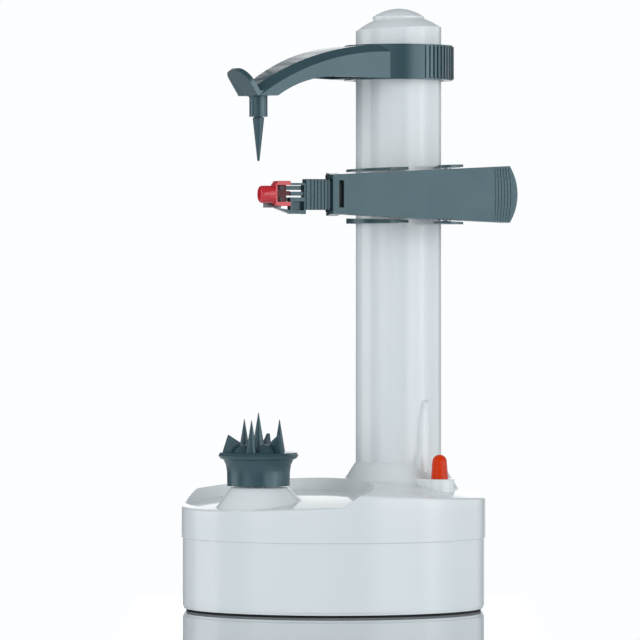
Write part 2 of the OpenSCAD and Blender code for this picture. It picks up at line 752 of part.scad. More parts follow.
module motor_shaft() color(STEEL) at(motor_at) rod(1, gear_under_z - 7.5, wheel_z + wheel_t + 1);

module motor_pinion() color(BRASS) at(motor_at) difference() {
    gear(motor_teeth, small_module, wheel_t + 0.6, wheel_z - 0.3, motor_phase, 0.08);
    rod(1, 0, wheel_z * 2);
}

axle_r = 2;
axle_top_z = wheel_z + wheel_t + 1.2;
module transfer_gear() color(NYLON) at(transfer) difference() {
    union() {
        gear(transfer_teeth, big_module, gear_t, gear_z, transfer_phase, 0.12);
        gear(wheel_teeth, small_module, wheel_t, wheel_z, 0, 0.08);
        rod(5, gear_z, wheel_z + wheel_t);
    }
    rod(axle_r + run_gap, 0, wheel_z * 2);
}

module gear_axle() color(STEEL) at(transfer) {
    rod(axle_r, gear_under_z, axle_top_z);
    rod(3.2, axle_top_z - 0.8, axle_top_z);
}

module spindle_gear() color(NYLON) at(food) difference() {
    union() {
        gear(spindle_teeth, big_module, gear_t, gear_z, spindle_phase, 0.12);
        rod(spindle_r + 3, gear_z, gear_z + gear_t + 3);
    }
    rod(spindle_r, 0, dish_z);
}

drive_af_r = spindle_r * 1.15;
module spindle() color(STEEL) at(food) {
    rod(spindle_r, gear_under_z - 2, holder_z);
    translate([0, 0, holder_z - touch]) cylinder(h = 8, r = drive_af_r, $fn = 6);
}

module spindle_bush() color(BRASS) at(food) ring(spindle_r + 2.6, spindle_r + run_gap, dish_z - 8,
    boss_z - 0.2);

module lead_screw() color(STEEL) at(column) difference() {
    rod(screw_r, screw_low_z, screw_top_z);
    for (z = [slot_z[0] - 5:screw_pitch:slot_z[1] + 5]) ring(screw_r + over, screw_r - thread_depth, z,
        z + screw_pitch * 0.4);
}

module screw_gear() color(NYLON) at(column) difference() {
    union() {
        gear(screw_teeth, big_module, gear_t, gear_z, screw_phase, 0.12);
        rod(screw_r + 3, gear_z, gear_z + gear_t + 3);
    }
    rod(screw_r, 0, dish_z);
}

guide_z = crown_top - 6;
module screw_guide() color(NYLON) at(column) {
    ring(column_bore_r - fit_gap, screw_r + run_gap, guide_z + 0.2, guide_z + 4);
    ring(screw_r + 3, screw_r + run_gap, guide_z + 4 - touch, guide_z + 10);
}

// ---- Column ----

module column_tube() color(WHITE) at(column) difference() {
    ring(column_r, column_bore_r, guide_z, cap_seam_z);
    block([-slot_w / 2, 0, slot_z[0]], [slot_w / 2, column_d, slot_z[1]]);
}

shoulder_z = cap_seam_z + cap_shoulder_h;
cap_lean = 1.2;
cap_ball_z = shoulder_z - sqrt(pow(cap_shoulder_r, 2) - pow(cap_button_d / 2, 2));
cap_button_z = shoulder_z + cap_step_h;
cap_button_ball_r = (pow(cap_button_d / 2, 2) + pow(cap_button_h, 2)) / (2 * cap_button_h);
module column_cap() color(WHITE) at(column) {
    difference() {
        union() {
            intersection() {
                rod(column_r, cap_seam_z, shoulder_z + 10);
                translate([cap_lean, 0, cap_ball_z]) sphere(cap_shoulder_r, $fn = 120);
            }
            rod(cap_button_d / 2, shoulder_z - 2, cap_button_z);
            intersection() {
                rod(cap_button_d / 2, cap_button_z - 1, cap_button_z + 20);
                translate([0, 0, cap_button_z + cap_button_h - cap_button_ball_r])
                    sphere(cap_button_ball_r);
            }
            rod(column_bore_r - fit_gap, cap_seam_z - 8, cap_seam_z + 1);
        }
        rod(column_bore_r - 2.2, cap_seam_z - 9, cap_seam_z + 3);
    }
    ring(screw_r + 3, screw_r + run_gap, screw_top_z - 4, cap_seam_z + 4);
    for (a = [0:90:270]) rotate([0, 0, a]) block([screw_r + 2, -0.8, cap_seam_z - 6],
        [column_bore_r - 2, 0.8, cap_seam_z + 4]);
}

module column_fin() color(WHITE) at(column) rotate([0, 0, button_dir]) {
    low = pad_z;
    high = pad_z + fin_h;
    out = column_r + fin_out;
    difference() {
        intersection() {
            across(-fin_w, fin_w) polygon([[column_r - 3, low], [out + 1.2, low], [out, low + 8],
                [out - 0.6, high - 8], [column_r + 1, high], [column_r - 3, high]]);
            translate([-over, 0, 0]) rotate([90, 0, 90]) linear_extrude(column_d) polygon([[-fin_w / 2,
                low],
                [fin_w / 2, low], [fin_w / 2 - 0.4, low + fin_h / 2], [fin_w / 2 - 1.4, high],
                [-fin_w / 2 + 1.4, high], [-fin_w / 2 + 0.4, low + fin_h / 2]]);
        }
        rod(column_r, 0, high + over);
        translate([0, 0, flare_z]) cylinder(h = flare_h, r1 = column_r + flare_out, r2 = column_r + 0.7);
        rod(column_r + flare_out + 1, 0, flare_z + touch);
    }
}

// ---- Carriage and peeling lever ----

// The ring is open at the front: its left end tapers out there, and the pivot's lug stands free of it
module carriage_plan() difference() {
    strap(column, carriage_r, pivot, lug_r);
    lug_side = pivot_dx - pivot_r - 2.4;
    translate(column) polygon([[-carriage_r * 0.3, -carriage_r - 2.2], (carriage_bore_r - 0.3) * [sin(15),
        -cos(15)],
        [lug_side, -carriage_bore_r * 0.4], [lug_side, -base_wid], [-carriage_r * 0.3, -base_wid]]);
}

function sill(x) = sill_z[0] + (sill_z[1] - sill_z[0]) * (x - plate_low_x) / (plate_high_x - plate_low_x);

// A skirt stiffens the lower plate's ring at the left and runs out towards the front
module carriage_skirt() intersection() {
    translate([0, 0, lever_z - 40]) linear_extrude(80) difference() {
        carriage_plan();
        translate(column) circle(carriage_r - 2);
    }
    across(-base_wid, base_wid) polygon([[plate_low_x - over, sill(plate_low_x) - plate_t + 0.3],
        [plate_low_x - over, sill(plate_low_x) - plate_t - 1.3], [column_x + 6, sill(column_x + 6)
            - plate_t - 0.1], [column_x + 6, sill(column_x + 6) - plate_t + 0.3]]);
}

module carriage_plate(z_left, z_right) {
    intersection() {
        translate([0, 0, lever_z - 40]) linear_extrude(80) carriage_plan();
        across(-base_wid, base_wid) polygon([[plate_low_x, z_left], [plate_high_x, z_right],
            [plate_high_x, z_right + plate_t], [plate_low_x, z_left + plate_t]]);
    }
}

module peel_carriage() color(TEAL) difference() {
    union() {
        carriage_plate(lid_z[0], lid_z[1]);
        carriage_plate(sill_z[0] - plate_t, sill_z[1] - plate_t);
        carriage_skirt();
        intersection() {
            at(column) rod(carriage_r, lever_z - 40, lever_z + 40);
            at(column) across(carriage_bore_r * 0.7, carriage_r + over) polygon([
                [plate_low_x - column_x + 6, sill_z[0] - plate_t / 2], [carriage_r - 6,
                    sill_z[1] - plate_t / 2],
                [carriage_r - 6, lid_z[1] + plate_t / 2], [plate_low_x - column_x + 6,
                    lid_z[0] + plate_t / 2]]);
        }
    }
    at(column) rod(carriage_bore_r, 0, cap_seam_z);
    at(column) block([-key_w / 2, 0, key_z[0]], [key_w / 2, carriage_r - 1.6, key_z[1]]);
    at(pivot) rod(pivot_r, 0, cap_seam_z);
    at(column) rotate([0, 0, button_dir])
        block([0, -fin_w / 2 - 0.5, 0], [column_r + fin_out + 0.5, fin_w / 2 + 0.5, cap_seam_z]);
    for (z = [-5, 5]) at(column) translate([0, carriage_r + over, lever_z + z]) rotate([90, 0, 0])
        cylinder(h = 4, r = 1.2);
}

// The half nut rides on the lead screw and reaches the carriage through the column's slot
module drive_nut() color(NYLON) at(column) difference() {
    union() {
        rod(screw_r + 3.6, key_z[0] + fit_gap, key_z[1] - fit_gap);
        block([-key_w / 2 + fit_gap, 0, key_z[0] + fit_gap], [key_w / 2 - fit_gap,
            carriage_r - 1.6 - fit_gap, key_z[1] - fit_gap]);
    }
    rod(screw_r + run_gap, 0, cap_seam_z);
    for (z = [-5, 5]) translate([0, carriage_r, lever_z + z]) rotate([90, 0, 0])
        cylinder(h = carriage_r - screw_r - 5, r = 0.9);
}

module nut_screws() color(STEEL) at(column) for (z = [-5, 5]) translate([0, carriage_r + 0.9,
    lever_z + z]) rotate([90, 0, 0]) {
    cylinder(h = 12, r = 0.9);
    cylinder(h = 0.85, r = 2);
}

module pivot_pin() color(STEEL) at(pivot)
    rod(pivot_r, lever_low(pivot[0]) - plate_gap - plate_t, lever_top(pivot[0]) + plate_gap + plate_t);

module arm_spring() color(STEEL) at(pivot) coil(2.75, 0.4, lever_z - 5, lever_z + 5, 9);

function end_arc(x, z0, z1, bulge) = let (h = (z1 - z0) / 2, r = (h * h + bulge * bulge) / (2 * bulge),
    a = asin(h / r))
    [for (i = [0:10]) [x + bulge - r + r * cos(a - 2 * a * i / 10), (z0 + z1)
        / 2 + r * sin(a - 2 * a * i / 10)]];

function lever_edge(left, right, x) = left + (right - left) * (x + lever_left) / (lever_right + lever_left);

// The two corners of the grip end are rounded off
module lever_face() polygon(concat([[-lever_left, lever_low_left], [-lever_left, lever_top_left],
    [lever_right - 1, lever_edge(lever_top_left, lever_top_right, lever_right - 1)],
    [lever_right - 0.3, lever_top_right - 0.3]],
    end_arc(lever_right, lever_low_right + 1, lever_top_right - 1, lever_bulge),
    [[lever_right - 0.3, lever_low_right + 0.3],
    [lever_right - 1, lever_edge(lever_low_left, lever_low_right, lever_right - 1)]]));

// At the mouth the two long walls splay out a little towards the back
module mouth_flare(side) {
    z = side > 0 ? lever_top_left : lever_low_left;
    translate([-lever_left, 0, z]) rotate([90, 0, 90]) linear_extrude(mouth_len)
        polygon([[lever_front + lever_wall, -side * 0.2], [lever_back, side * mouth_flare_h],
            [lever_back, -side * 1.2],
            [lever_front + lever_wall, -side * 1.2]]);
}

// Each grip ridge bends as the lever's rounded end does, and less the further it lies from it
module grip_ridge(i) {
    x = lever_right - 0.9 - i * grip_pitch;
    bulge = lever_bulge * (0.41 - 0.066 * i);
    z = [lever_edge(lever_low_left, lever_low_right, x) + 1, lever_edge(lever_top_left, lever_top_right,
        x) - 1];
    outer = end_arc(x, z[0], z[1], bulge);
    polygon(concat(outer, [for (k = [10:-1:0]) outer[k] - [0.55, 0]]));
}

pocket_end = lever_right - 8;
module peel_lever() color(TEAL) at_lever() {
    difference() {
        union() {
            across(lever_front, lever_back) lever_face();
            for (i = [0:grip_ridges - 1]) across(lever_front - 0.35, lever_front + 0.1) grip_ridge(i);
        }
        across(lever_front + lever_wall, lever_back + over) polygon([[-lever_left - over,
            lever_low_left + lever_wall],
            [pocket_end, lever_low_right + lever_wall + 1], [pocket_end, lever_top_right - lever_wall - 1],
            [-lever_left - over, lever_top_left - lever_wall]]);
        block([-lever_left + 3, lever_front - over, lever_z - 6.2], [-lever_left + 5.4, 0, lever_z + 6.6]);
        rod(pivot_r + run_gap, 0, cap_seam_z);
    }
    mouth_flare(1);
    mouth_flare(-1);
    ring(pivot_r + 2.4, pivot_r + run_gap, lever_low_left - 1.4, lever_z - 5.4);
    ring(pivot_r + 2.4, pivot_r + run_gap, lever_z + 5.4, lever_top_left + 0.8);
}

// ---- Cutter ----

module cutter_sleeve() color(TEAL) at_lever() {
    z0 = cutter_z - sleeve_h / 2;
    z1 = cutter_z + sleeve_h / 2;
    rib_pitch = (sleeve_len - 2.4) / sleeve_ribs;
    block([sleeve_x, -sleeve_t / 2 + 0.6, z0 + 0.4], [-lever_left - 0.8, sleeve_t / 2 - 0.6, z1 - 0.4]);
    block([sleeve_x, -sleeve_t / 2, z0], [sleeve_x + 1.5, sleeve_t / 2, z1]);
    for (i = [0:sleeve_ribs - 1]) {
        x = sleeve_x + 1.6 + rib_pitch * (i + 0.45);
        block([x, -sleeve_t / 2, z0], [x + rib_pitch * 0.45, sleeve_t / 2, z1]);
    }
    block([-lever_left - 2, -stem_t / 2, cutter_z - stem_h / 2], [-lever_left + stem_len, stem_t / 2,
        cutter_z + stem_h / 2]);
}

module fork_bar(x0, z0, z1, y0, y1) { block([x0, y0, cutter_z + z0], [sleeve_x - 0.5, y1, cutter_z + z1]); }

module blade_fork() color(TEAL) at_lever() {
    difference() {
        union() {
            block([sleeve_x - 0.9, -2.6, cutter_z - 9.3], [sleeve_x - touch, 2.6, cutter_z + 5.4]);
            fork_bar(guard_x1 + 0.3, 4.4, 5.4, -2.6, 2.6);
            fork_bar(fork_x - 6.2, 2.1, 4.1, 0.1, 2.4);
            fork_bar(guard_x1 + 0.7, -0.6, 1.3, -1.6, 1.6);
            fork_bar(fork_x - 6.2, -3.3, -1.4, 0.1, 2.4);
            fork_bar(guard_x1 + 0.3, -3.3, -1.4, -2.6, 2.4);
            fork_bar(guard_x1 + 0.3, -9.2, -7.5, -2.6, 2.5);
            block([guard_x1 + 0.3, -2.6, cutter_z - 9.2], [guard_x1 + 1.3, 2.4, cutter_z - 2]);
            block([guard_x1 + 0.3, 0.8, cutter_z - 8], [sleeve_x - 0.5, 2.4, cutter_z - 3]);
            across(-2.6, 2.5) polygon([[fork_x + touch, cutter_z - 9.2], [fork_x - 7.4, cutter_z - 6.5],
                [fork_x - 7, cutter_z - 6.3], [fork_x + touch, cutter_z - 7.5]]);
        }
        for (z = [-pin_dz, pin_dz]) translate([pin_xs, 5, guard_mid + z]) rotate([90, 0, 0])
            cylinder(h = 10, r = 0.6);
    }
}

// The nose is a short barrel, round at its end, that lies along the lever
module nose_barrel() translate([guard_x0 + 0.5, 0, cutter_z]) rotate([0, -90, 0]) rotate_extrude() {
    r = nose_h / 2;
    h = nose_len + 0.5;
    square([r - 1.4, h]);
    square([r, h - 1.4]);
    translate([r - 1.4, h - 1.4]) intersection() {
        circle(1.4);
        square(1.4);
    }
}

// The box has a window at the front, a pocket for the fork at the back and a thin floor between them
module blade_guard() color(RED) at_lever() {
    z0 = guard_mid - guard_h / 2;
    z1 = guard_mid + guard_h / 2;
    difference() {
        union() {
            across(-guard_t / 2, guard_t / 2) polygon([[guard_x0, z0 + 1.2], [guard_x0 + 1.2, z0],
                [guard_x1, z0], [guard_x1, z1], [guard_x0 + 1.4, z1], [guard_x0, z1 - 2]]);
            nose_barrel();
        }
        block([guard_x0 + 0.8, -guard_t / 2 - over, z0 + guard_wall], [guard_x1 + over, -1.4,
            z1 - guard_wall]);
        block([guard_x0 + 0.8, -0.2, z0 + guard_wall], [guard_x1 + over, guard_t / 2 + over,
            z1 - guard_wall]);
        block([guard_x1 - 1.4, -2, z0 + guard_wall], [guard_x1 + over, 0.5, z1 - guard_wall]);
        for (z = [-pin_dz, pin_dz]) translate([pin_xs, 1, guard_mid + z]) rotate([90, 0, 0])
            cylinder(h = 4, r = 0.65);
        block([guard_x0 - 4.2, guard_t / 2 - 1.2, z0 - over], [guard_x1 - 2.4,
            guard_t / 2 - 1.2 + blade_t + 0.1, z0 + 6]);
    }
    block([guard_x1 - 1.7, -1.4, guard_mid - 1], [guard_x1 + 0.3, -0.2, guard_mid + 1.2]);
}

module blade() color(STEEL) at_lever()
    block([guard_x0 - 4, guard_t / 2 - 1.15, guard_mid - guard_h / 2 - 0.7],
        [guard_x1 - 2.6, guard_t / 2 - 1.15 + blade_t, guard_mid - guard_h / 2 + 5.8]);

module blade_pins() color(DARK) at_lever() for (z = [-pin_dz, pin_dz]) translate([pin_xs, 0,
    guard_mid + z]) rotate([90, 0, 0]) {
    translate([0, 0, -2.2]) cylinder(h = 4, r = 0.6);
    translate([0, 0, 1.5]) cylinder(h = 0.7, r = 0.95);
}

// ---- Food holder ----

module cone_spike(x, y, r, h) {
    translate([x, y, holder_top_z - 1.5]) cylinder(h = h + 1.5, r1 = r, r2 = 0.15);
}

module food_holder() color(TEAL) at(food) difference() {
    union() {
        rotate_extrude() polygon([[0, holder_z], [holder_r, holder_z], [holder_r + 0.1,
            holder_z + holder_h * 0.42],
            [holder_r + 0.6, holder_z + holder_h * 0.62], [holder_neck_r, holder_top_z - 3.6],
            [holder_rim_r - 0.9, holder_top_z - 3], [holder_rim_r, holder_top_z - 1.6],
            [holder_rim_r - 0.9, holder_top_z - 0.2], [holder_rim_r - 4, holder_top_z], [0, holder_top_z]]);
        cone_spike(0, 0, spike_r * 1.2, spike_mid_h);
        for (i = [0:2]) rotate([0, 0, SPIKE_DIR + 120 * i]) cone_spike(spike_ring_r, 0, spike_r, spike_h);
        for (i = [0:2]) rotate([0, 0, FIN_DIR + 120 * i]) across(-holder_fin_t / 2, holder_fin_t / 2)
            polygon([[9, holder_top_z - 1], [holder_rim_r - 1.6, holder_top_z - 1], [holder_rim_r - 2,
                holder_top_z + 0.6],
                [14.6, holder_top_z + holder_fin_h], [9, holder_top_z + holder_fin_h * 0.56]]);
        for (a = [-146, -62, 85]) rotate([0, 0, a]) translate([8.2, 0, holder_top_z - 1.6]) sphere(mound_r);
    }
    translate([0, 0, holder_z - over]) cylinder(h = 9.4 + over, r = drive_af_r, $fn = 6);
    rod(base_len, 0, holder_z);
}

// ---- Upper arm ----

module arm_plan(inset, grow) {
    root = [(collar_r - 0.6) * cos(arm_spread), (collar_r - 0.6) * sin(arm_spread) - inset];
    q = [tip_end, tip_half - inset];
    far = tip_end + 14 + grow;
    polygon([[0, root[1]], root, q, [far, q[1]], [far, -q[1]], [q[0], -q[1]], [root[0], -root[1]], [0,
        -root[1]]]);
}

module arm_side() {
    ARCH_STEPS = 14;
    BELLY_STEPS = 8;
    polygon(concat([[0, collar_z], [0, arm_top_z]],
        [for (i = [0:ARCH_STEPS]) let (s = arch_start + (tip_end - arch_start) * i / ARCH_STEPS) [s,
            arch_z(s)]],
        [[tip_end, tip_z]],
        [for (i = [0:BELLY_STEPS]) let (s = belly_end - (belly_end - belly_s) * i / BELLY_STEPS) [s,
            belly_z(s)]],
        [[belly_s * 0.8, collar_z + 0.7]]));
}

// The finger plate rises from the tip at its own slope, and its two top corners are rounded
module finger_plate() {
    translate([tip_end, 0, tip_z]) rotate([0, -finger_slope, 0]) linear_extrude(finger_t) {
        translate([0, -tip_half]) square([finger_len - finger_round, tip_w]);
        translate([0, -tip_half]) square([finger_len - finger_corner, tip_half]);
        translate([0, -tip_half + finger_corner]) square([finger_len, tip_w - finger_corner
            - finger_round]);
        translate([finger_len - finger_corner, finger_corner - tip_half]) circle(finger_corner);
        translate([finger_len - finger_round, tip_half - finger_round]) circle(finger_round);
    }
    across(-tip_half, tip_half) polygon([[tip_end, tip_z], [tip_end,
        tip_z] + 0.8 * finger_t * [-sin(finger_slope),
        cos(finger_slope)] + 1.2 * [cos(finger_slope), sin(finger_slope)], [tip_end - finger_t * 2,
            tip_z + finger_t],
        [tip_end - finger_t * 2, tip_z]]);
}

module arm_hollow() intersection() {
    translate([0, 0, collar_z - 30]) linear_extrude(60) arm_plan(arm_wall, -30);
    translate([0, 0, -arm_wall]) across(-collar_r, collar_r) arm_side();
    block([collar_r + 2, -collar_r, tip_z - 20], [reach - pin_boss_r - 3, collar_r, arm_top_z]);
}

// A cone about the arch's centre, square to the arm's side, leaves the bevel along its top edge
module bevel_cutter() {
    root = (collar_r - 0.6) * [cos(arm_spread), sin(arm_spread)];
    lean = atan((root[1] - tip_half) / (tip_end - root[0]));
    slope = 0.9;
    translate([root[0], root[1], arm_top_z - arch_r]) rotate([0, 0, -lean])
        translate([(arch_start - root[0]) / cos(lean), 0, 0]) rotate([-90, 0, 0]) rotate_extrude()
            polygon([[arch_r - arm_bevel - 0.5 / slope, 0.5], [arch_r + 6, 0.5],
                [arch_r + 6, -slope * (arm_bevel + 6)]]);
}

module upper_arm() color(TEAL) at_arm() {
    difference() {
        union() {
            difference() {
                intersection() {
                    translate([0, 0, collar_z - 30]) linear_extrude(60) arm_plan(0, 0);
                    across(-collar_r, collar_r) arm_side();
                }
                arm_hollow();
                bevel_cutter();
                mirror([0, 1, 0]) bevel_cutter();
            }
            finger_plate();
            rod(collar_r, collar_z, collar_z + collar_h);
            for (i = [0:grip_ribs - 1]) rotate([0, 0, GRIP_START + (360 - 2 * GRIP_START)
                * (i + 0.5) / grip_ribs])
                block([collar_r - 1, -0.7, collar_z + 0.6], [collar_r + grip_rib, 0.7,
                    collar_z + collar_h - 0.6]);
            translate([reach, 0, 0]) rod(pin_boss_r, pin_boss_z, tip_z + 1);
        }
        rod(collar_bore_r, 0, arm_top_z * 2);
        translate([reach, 0, 0]) rod(pin_bore_r, 0, pin_top_z + 0.2);
        translate([reach, 0, 0]) rod(3.6, pin_top_z - 1.6, pin_top_z + 0.3);
        block([reach - pin_boss_r - 3.5, -3.6, pin_top_z - 1.6], [reach, 3.6, pin_top_z + 0.3]);
    }
}

module arm_liner() color(DARK) at(column) ring(collar_bore_r, column_r + free_gap, collar_z + 0.4,
    collar_z + collar_h - 0.4);

module upper_pin() color(TEAL) at(food) {
    rod(pin_r, pin_boss_z - free_gap, pin_top_z);
    translate([0, 0, pin_boss_z - free_gap - 1]) cylinder(h = 1, r = pin_spike_r);
    translate([0, 0, pin_boss_z - free_gap - pin_spike_h + 0.6]) cylinder(h = pin_spike_h - 1.6,
        r1 = 0.6, r2 = pin_spike_r);
    translate([0, 0, pin_boss_z - free_gap - pin_spike_h + 0.6]) sphere(0.6, $fn = 24);
}

module pin_clip() color(STEEL) at(food) ring(3.2, pin_r, pin_top_z - 1.2, pin_top_z - 0.5);

upper_shell();
lower_shell();
foot_ring();
battery_door();
shell_screws();
batteries();
battery_contacts();
dc_jack();
circuit_board();
start_switch();
start_button();
button_spring();
gear_plate();
plate_screws();
motor();
motor_shaft();
motor_pinion();
transfer_gear();
gear_axle();
spindle_gear();
spindle();
spindle_bush();
food_holder();
lead_screw();
screw_gear();
screw_guide();
column_tube();
column_cap();
column_fin();
peel_carriage();
drive_nut();
nut_screws();
pivot_pin();
arm_spring();
peel_lever();
cutter_sleeve();
blade_fork();
blade_guard();
blade();
blade_pins();
upper_arm();
arm_liner();
upper_pin();
pin_clip();
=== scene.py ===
# %% [markdown]
# An electric potato peeler. The imported model gives every piece its real size and place in metres.
# This file dresses it: first the studio, then the finishes, then the pieces that deserve a finer shape
# than the plain solids have.

# %% Load the model
import json
import math

import bmesh
import bpy
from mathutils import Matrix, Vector


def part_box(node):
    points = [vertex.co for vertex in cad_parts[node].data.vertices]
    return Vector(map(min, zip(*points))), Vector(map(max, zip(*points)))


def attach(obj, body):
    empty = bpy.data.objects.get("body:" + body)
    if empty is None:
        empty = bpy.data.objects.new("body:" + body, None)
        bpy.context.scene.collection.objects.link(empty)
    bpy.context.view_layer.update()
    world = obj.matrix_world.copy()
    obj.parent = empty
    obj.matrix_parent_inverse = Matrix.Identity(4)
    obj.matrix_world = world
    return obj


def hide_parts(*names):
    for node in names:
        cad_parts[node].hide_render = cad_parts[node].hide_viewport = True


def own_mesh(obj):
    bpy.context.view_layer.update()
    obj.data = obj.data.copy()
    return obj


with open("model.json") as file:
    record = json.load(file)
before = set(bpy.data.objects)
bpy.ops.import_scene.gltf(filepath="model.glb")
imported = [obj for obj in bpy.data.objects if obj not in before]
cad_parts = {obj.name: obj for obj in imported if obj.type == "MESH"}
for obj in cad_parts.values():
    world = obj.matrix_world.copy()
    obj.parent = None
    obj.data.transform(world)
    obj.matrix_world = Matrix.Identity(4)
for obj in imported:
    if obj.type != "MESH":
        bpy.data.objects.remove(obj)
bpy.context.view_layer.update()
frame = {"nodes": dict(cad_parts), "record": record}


nodes = frame["nodes"]
MM = 0.001

# %% [markdown]
# The camera stands far back and low, with a long lens, so the column stays straight and the oval
# base shows only a sliver of its top. A point to look at is easier to set than two angles, so the
# camera's turn is worked out from one.

# %% Camera
CAMERA_PLACE = Vector((-0.0065, -2.208, 0.167))
CAMERA_AIM = Vector((-0.0065, 0, 0.1392))

scene = bpy.context.scene
scene.view_settings.view_transform = "Standard"
camera_data = bpy.data.cameras.new("camera")
camera_data.lens = 258.75
camera_data.sensor_width = 36
camera_data.clip_end = 50
camera = bpy.data.objects.new("camera", camera_data)
camera.location = CAMERA_PLACE
camera.rotation_euler = (CAMERA_AIM - CAMERA_PLACE).to_track_quat("-Z", "Y").to_euler()
scene.collection.objects.link(camera)
scene.camera = camera
print("camera", [round(v, 4) for v in camera.location])

# %% [markdown]
# Materials and the world are small graphs of nodes. Building them by hand repeats the same few
# steps: join two sockets, or give a socket a plain value, do one sum, mix two colours. A helper for
# each keeps the recipes below readable.

# %% Helpers for nodes
def link(tree, a, b):
    tree.links.new(a, b)


def feed(tree, sockets, values):
    """Gives each socket its value: another node's output is joined to it, a number or colour is set."""
    for socket, value in zip(sockets, values):
        if isinstance(value, bpy.types.NodeSocket):
            link(tree, value, socket)
        else:
            socket.default_value = value


def math_node(tree, kind, *values, clamp=False):
    node = tree.nodes.new("ShaderNodeMath")
    node.operation = kind
    node.use_clamp = clamp
    feed(tree, node.inputs, values)
    return node.outputs[0]


def mix_colour(tree, share, a, b):
    node = tree.nodes.new("ShaderNodeMix")
    node.data_type = "RGBA"
    feed(tree, (node.inputs[0], node.inputs[6], node.inputs[7]), (share, a, b))
    return node.outputs[2]


def mix_shaders(tree, share, a, b):
    node = tree.nodes.new("ShaderNodeMixShader")
    feed(tree, node.inputs, (share, a, b))
    return node.outputs[0]


def span(tree, value, low, high, to_low=0.0, to_high=1.0):
    """Stretches the values from low to high over the range from to_low to to_high."""
    node = tree.nodes.new("ShaderNodeMapRange")
    feed(tree, node.inputs, (value, low, high, to_low, to_high))
    return node.outputs[0]


def axes_of(tree, place):
    node = tree.nodes.new("ShaderNodeSeparateXYZ")
    link(tree, place, node.inputs[0])
    return node.outputs


def own_place(tree):
    """Object coordinates, in metres, so a pattern keeps its real size and stays on its piece."""
    return tree.nodes.new("ShaderNodeTexCoord").outputs["Object"]


print("helpers", [f.__name__ for f in (feed, math_node, mix_colour, mix_shaders, span)])

# %% [markdown]
# White products are drawn by what they mirror. The backdrop is white where the camera looks. Where a
# glossy or clear surface looks, the room is uneven as a studio is: a bright softbox at the right, a
# narrower one at the left, dark cards between them and beside the back corners, and a dark ceiling.
# That gives the column its edges. Matt light comes from a plain pale sky that is weaker overhead,
# so the tops are a little darker than the fronts.

# %% Studio world
SKY = (0.93, 0.97, 1.0, 1)
SKY_LOW, SKY_HIGH = 0.84, 0.84 * 0.62
SKY_FADE, CEILING_FADE = (0.12, 0.75), (0.17, 0.45)
BACKDROP = (0.975, 0.985, 1.0, 1)
PEAK = 4.0
CEILING = (0.22 / PEAK, 0.24 / PEAK, 0.26 / PEAK, 1)
# The room as (turn in degrees from the front, brightness), once round.
ROOM = [(-180, 1.7), (-176, 1.6), (-162, 0.03), (-126, 0.05), (-108, 1.6), (-88, 1.9), (-76, 0.3),
        (-62, 0.3), (-46, 1.2), (-22, 0.6), (14, 0.1), (32, 2.1), (52, 2.3), (66, 3.6), (80, 2.0),
        (100, 1.4), (124, 1.3), (150, 0.05), (176, 1.4), (180, 1.7)]


def room_colour(tree, x, y, height):
    turn = math_node(tree, "ARCTAN2", x, math_node(tree, "MULTIPLY", y, -1.0))
    place = math_node(tree, "MULTIPLY_ADD", turn, 1 / (2 * math.pi), 0.5, clamp=True)
    ramp = tree.nodes.new("ShaderNodeValToRGB")
    ramp.color_ramp.interpolation = "EASE"
    while len(ramp.color_ramp.elements) < len(ROOM):
        ramp.color_ramp.elements.new(0.5)
    for element, (degrees, grey) in zip(ramp.color_ramp.elements, ROOM):
        element.position = degrees / 360 + 0.5
        element.color = (grey / PEAK * 0.97, grey / PEAK * 0.99, grey / PEAK, 1)
    link(tree, place, ramp.inputs[0])
    return mix_colour(tree, span(tree, height, *CEILING_FADE), ramp.outputs[0], CEILING)


def background(tree, colour, strength):
    node = tree.nodes.new("ShaderNodeBackground")
    feed(tree, (node.inputs["Color"], node.inputs["Strength"]), (colour, strength))
    return node.outputs[0]


def studio_world():
    world = bpy.data.worlds.new("studio")
    scene.world = world
    world.use_nodes = True
    tree = world.node_tree
    tree.nodes.clear()
    x, y, height = axes_of(tree, tree.nodes.new("ShaderNodeTexCoord").outputs["Generated"])
    path = tree.nodes.new("ShaderNodeLightPath").outputs
    mirrored = math_node(tree, "MAXIMUM", path["Is Glossy Ray"], path["Is Transmission Ray"])
    sky = background(tree, SKY, span(tree, height, *SKY_FADE, SKY_LOW, SKY_HIGH))
    room = background(tree, room_colour(tree, x, y, height), PEAK)
    light = mix_shaders(tree, mirrored, sky, room)
    seen = mix_shaders(tree, path["Is Camera Ray"], light, background(tree, BACKDROP, 1.0))
    link(tree, seen, tree.nodes.new("ShaderNodeOutputWorld").inputs[0])
    return world


print("world", studio_world().name)

# %% [markdown]
# Two tall soft lamps, one at each front corner, give the plain light and its soft shadows. Glossy
# rays don't see them, so that the room alone makes the reflections and each can be set by itself.

# %% Lamps
LAMP_AIM = Vector((0, 0, 0.13))
LAMP_WATTS = 10


def softbox(name, place, width, height):
    data = bpy.data.lights.new(name, "AREA")
    data.shape = "RECTANGLE"
    data.size, data.size_y = width, height
    data.energy = LAMP_WATTS
    lamp = bpy.data.objects.new(name, data)
    lamp.location = place
    lamp.rotation_euler = (LAMP_AIM - Vector(place)).to_track_quat("-Z", "Y").to_euler()
    lamp.visible_glossy = False
    scene.collection.objects.link(lamp)
    return lamp


lamps = [softbox("lamp_right_front", (1.25, -1.0, 0.3), 0.8, 1.5),
         softbox("lamp_left_front", (-1.2, -1.0, 0.3), 0.8, 1.3)]
print("lamps", [lamp.name for lamp in lamps])

# %% [markdown]
# The floor is a white acrylic board. Its polish mirrors the base in a patch just in front of it.
# Beyond that patch, and where the board is seen steeply, the camera sees the backdrop's white
# instead, so no horizon crosses the picture. Matt surfaces get their light from a plain pale board,
# and seen from below the floor is clear, which lets the camera look at the underside.

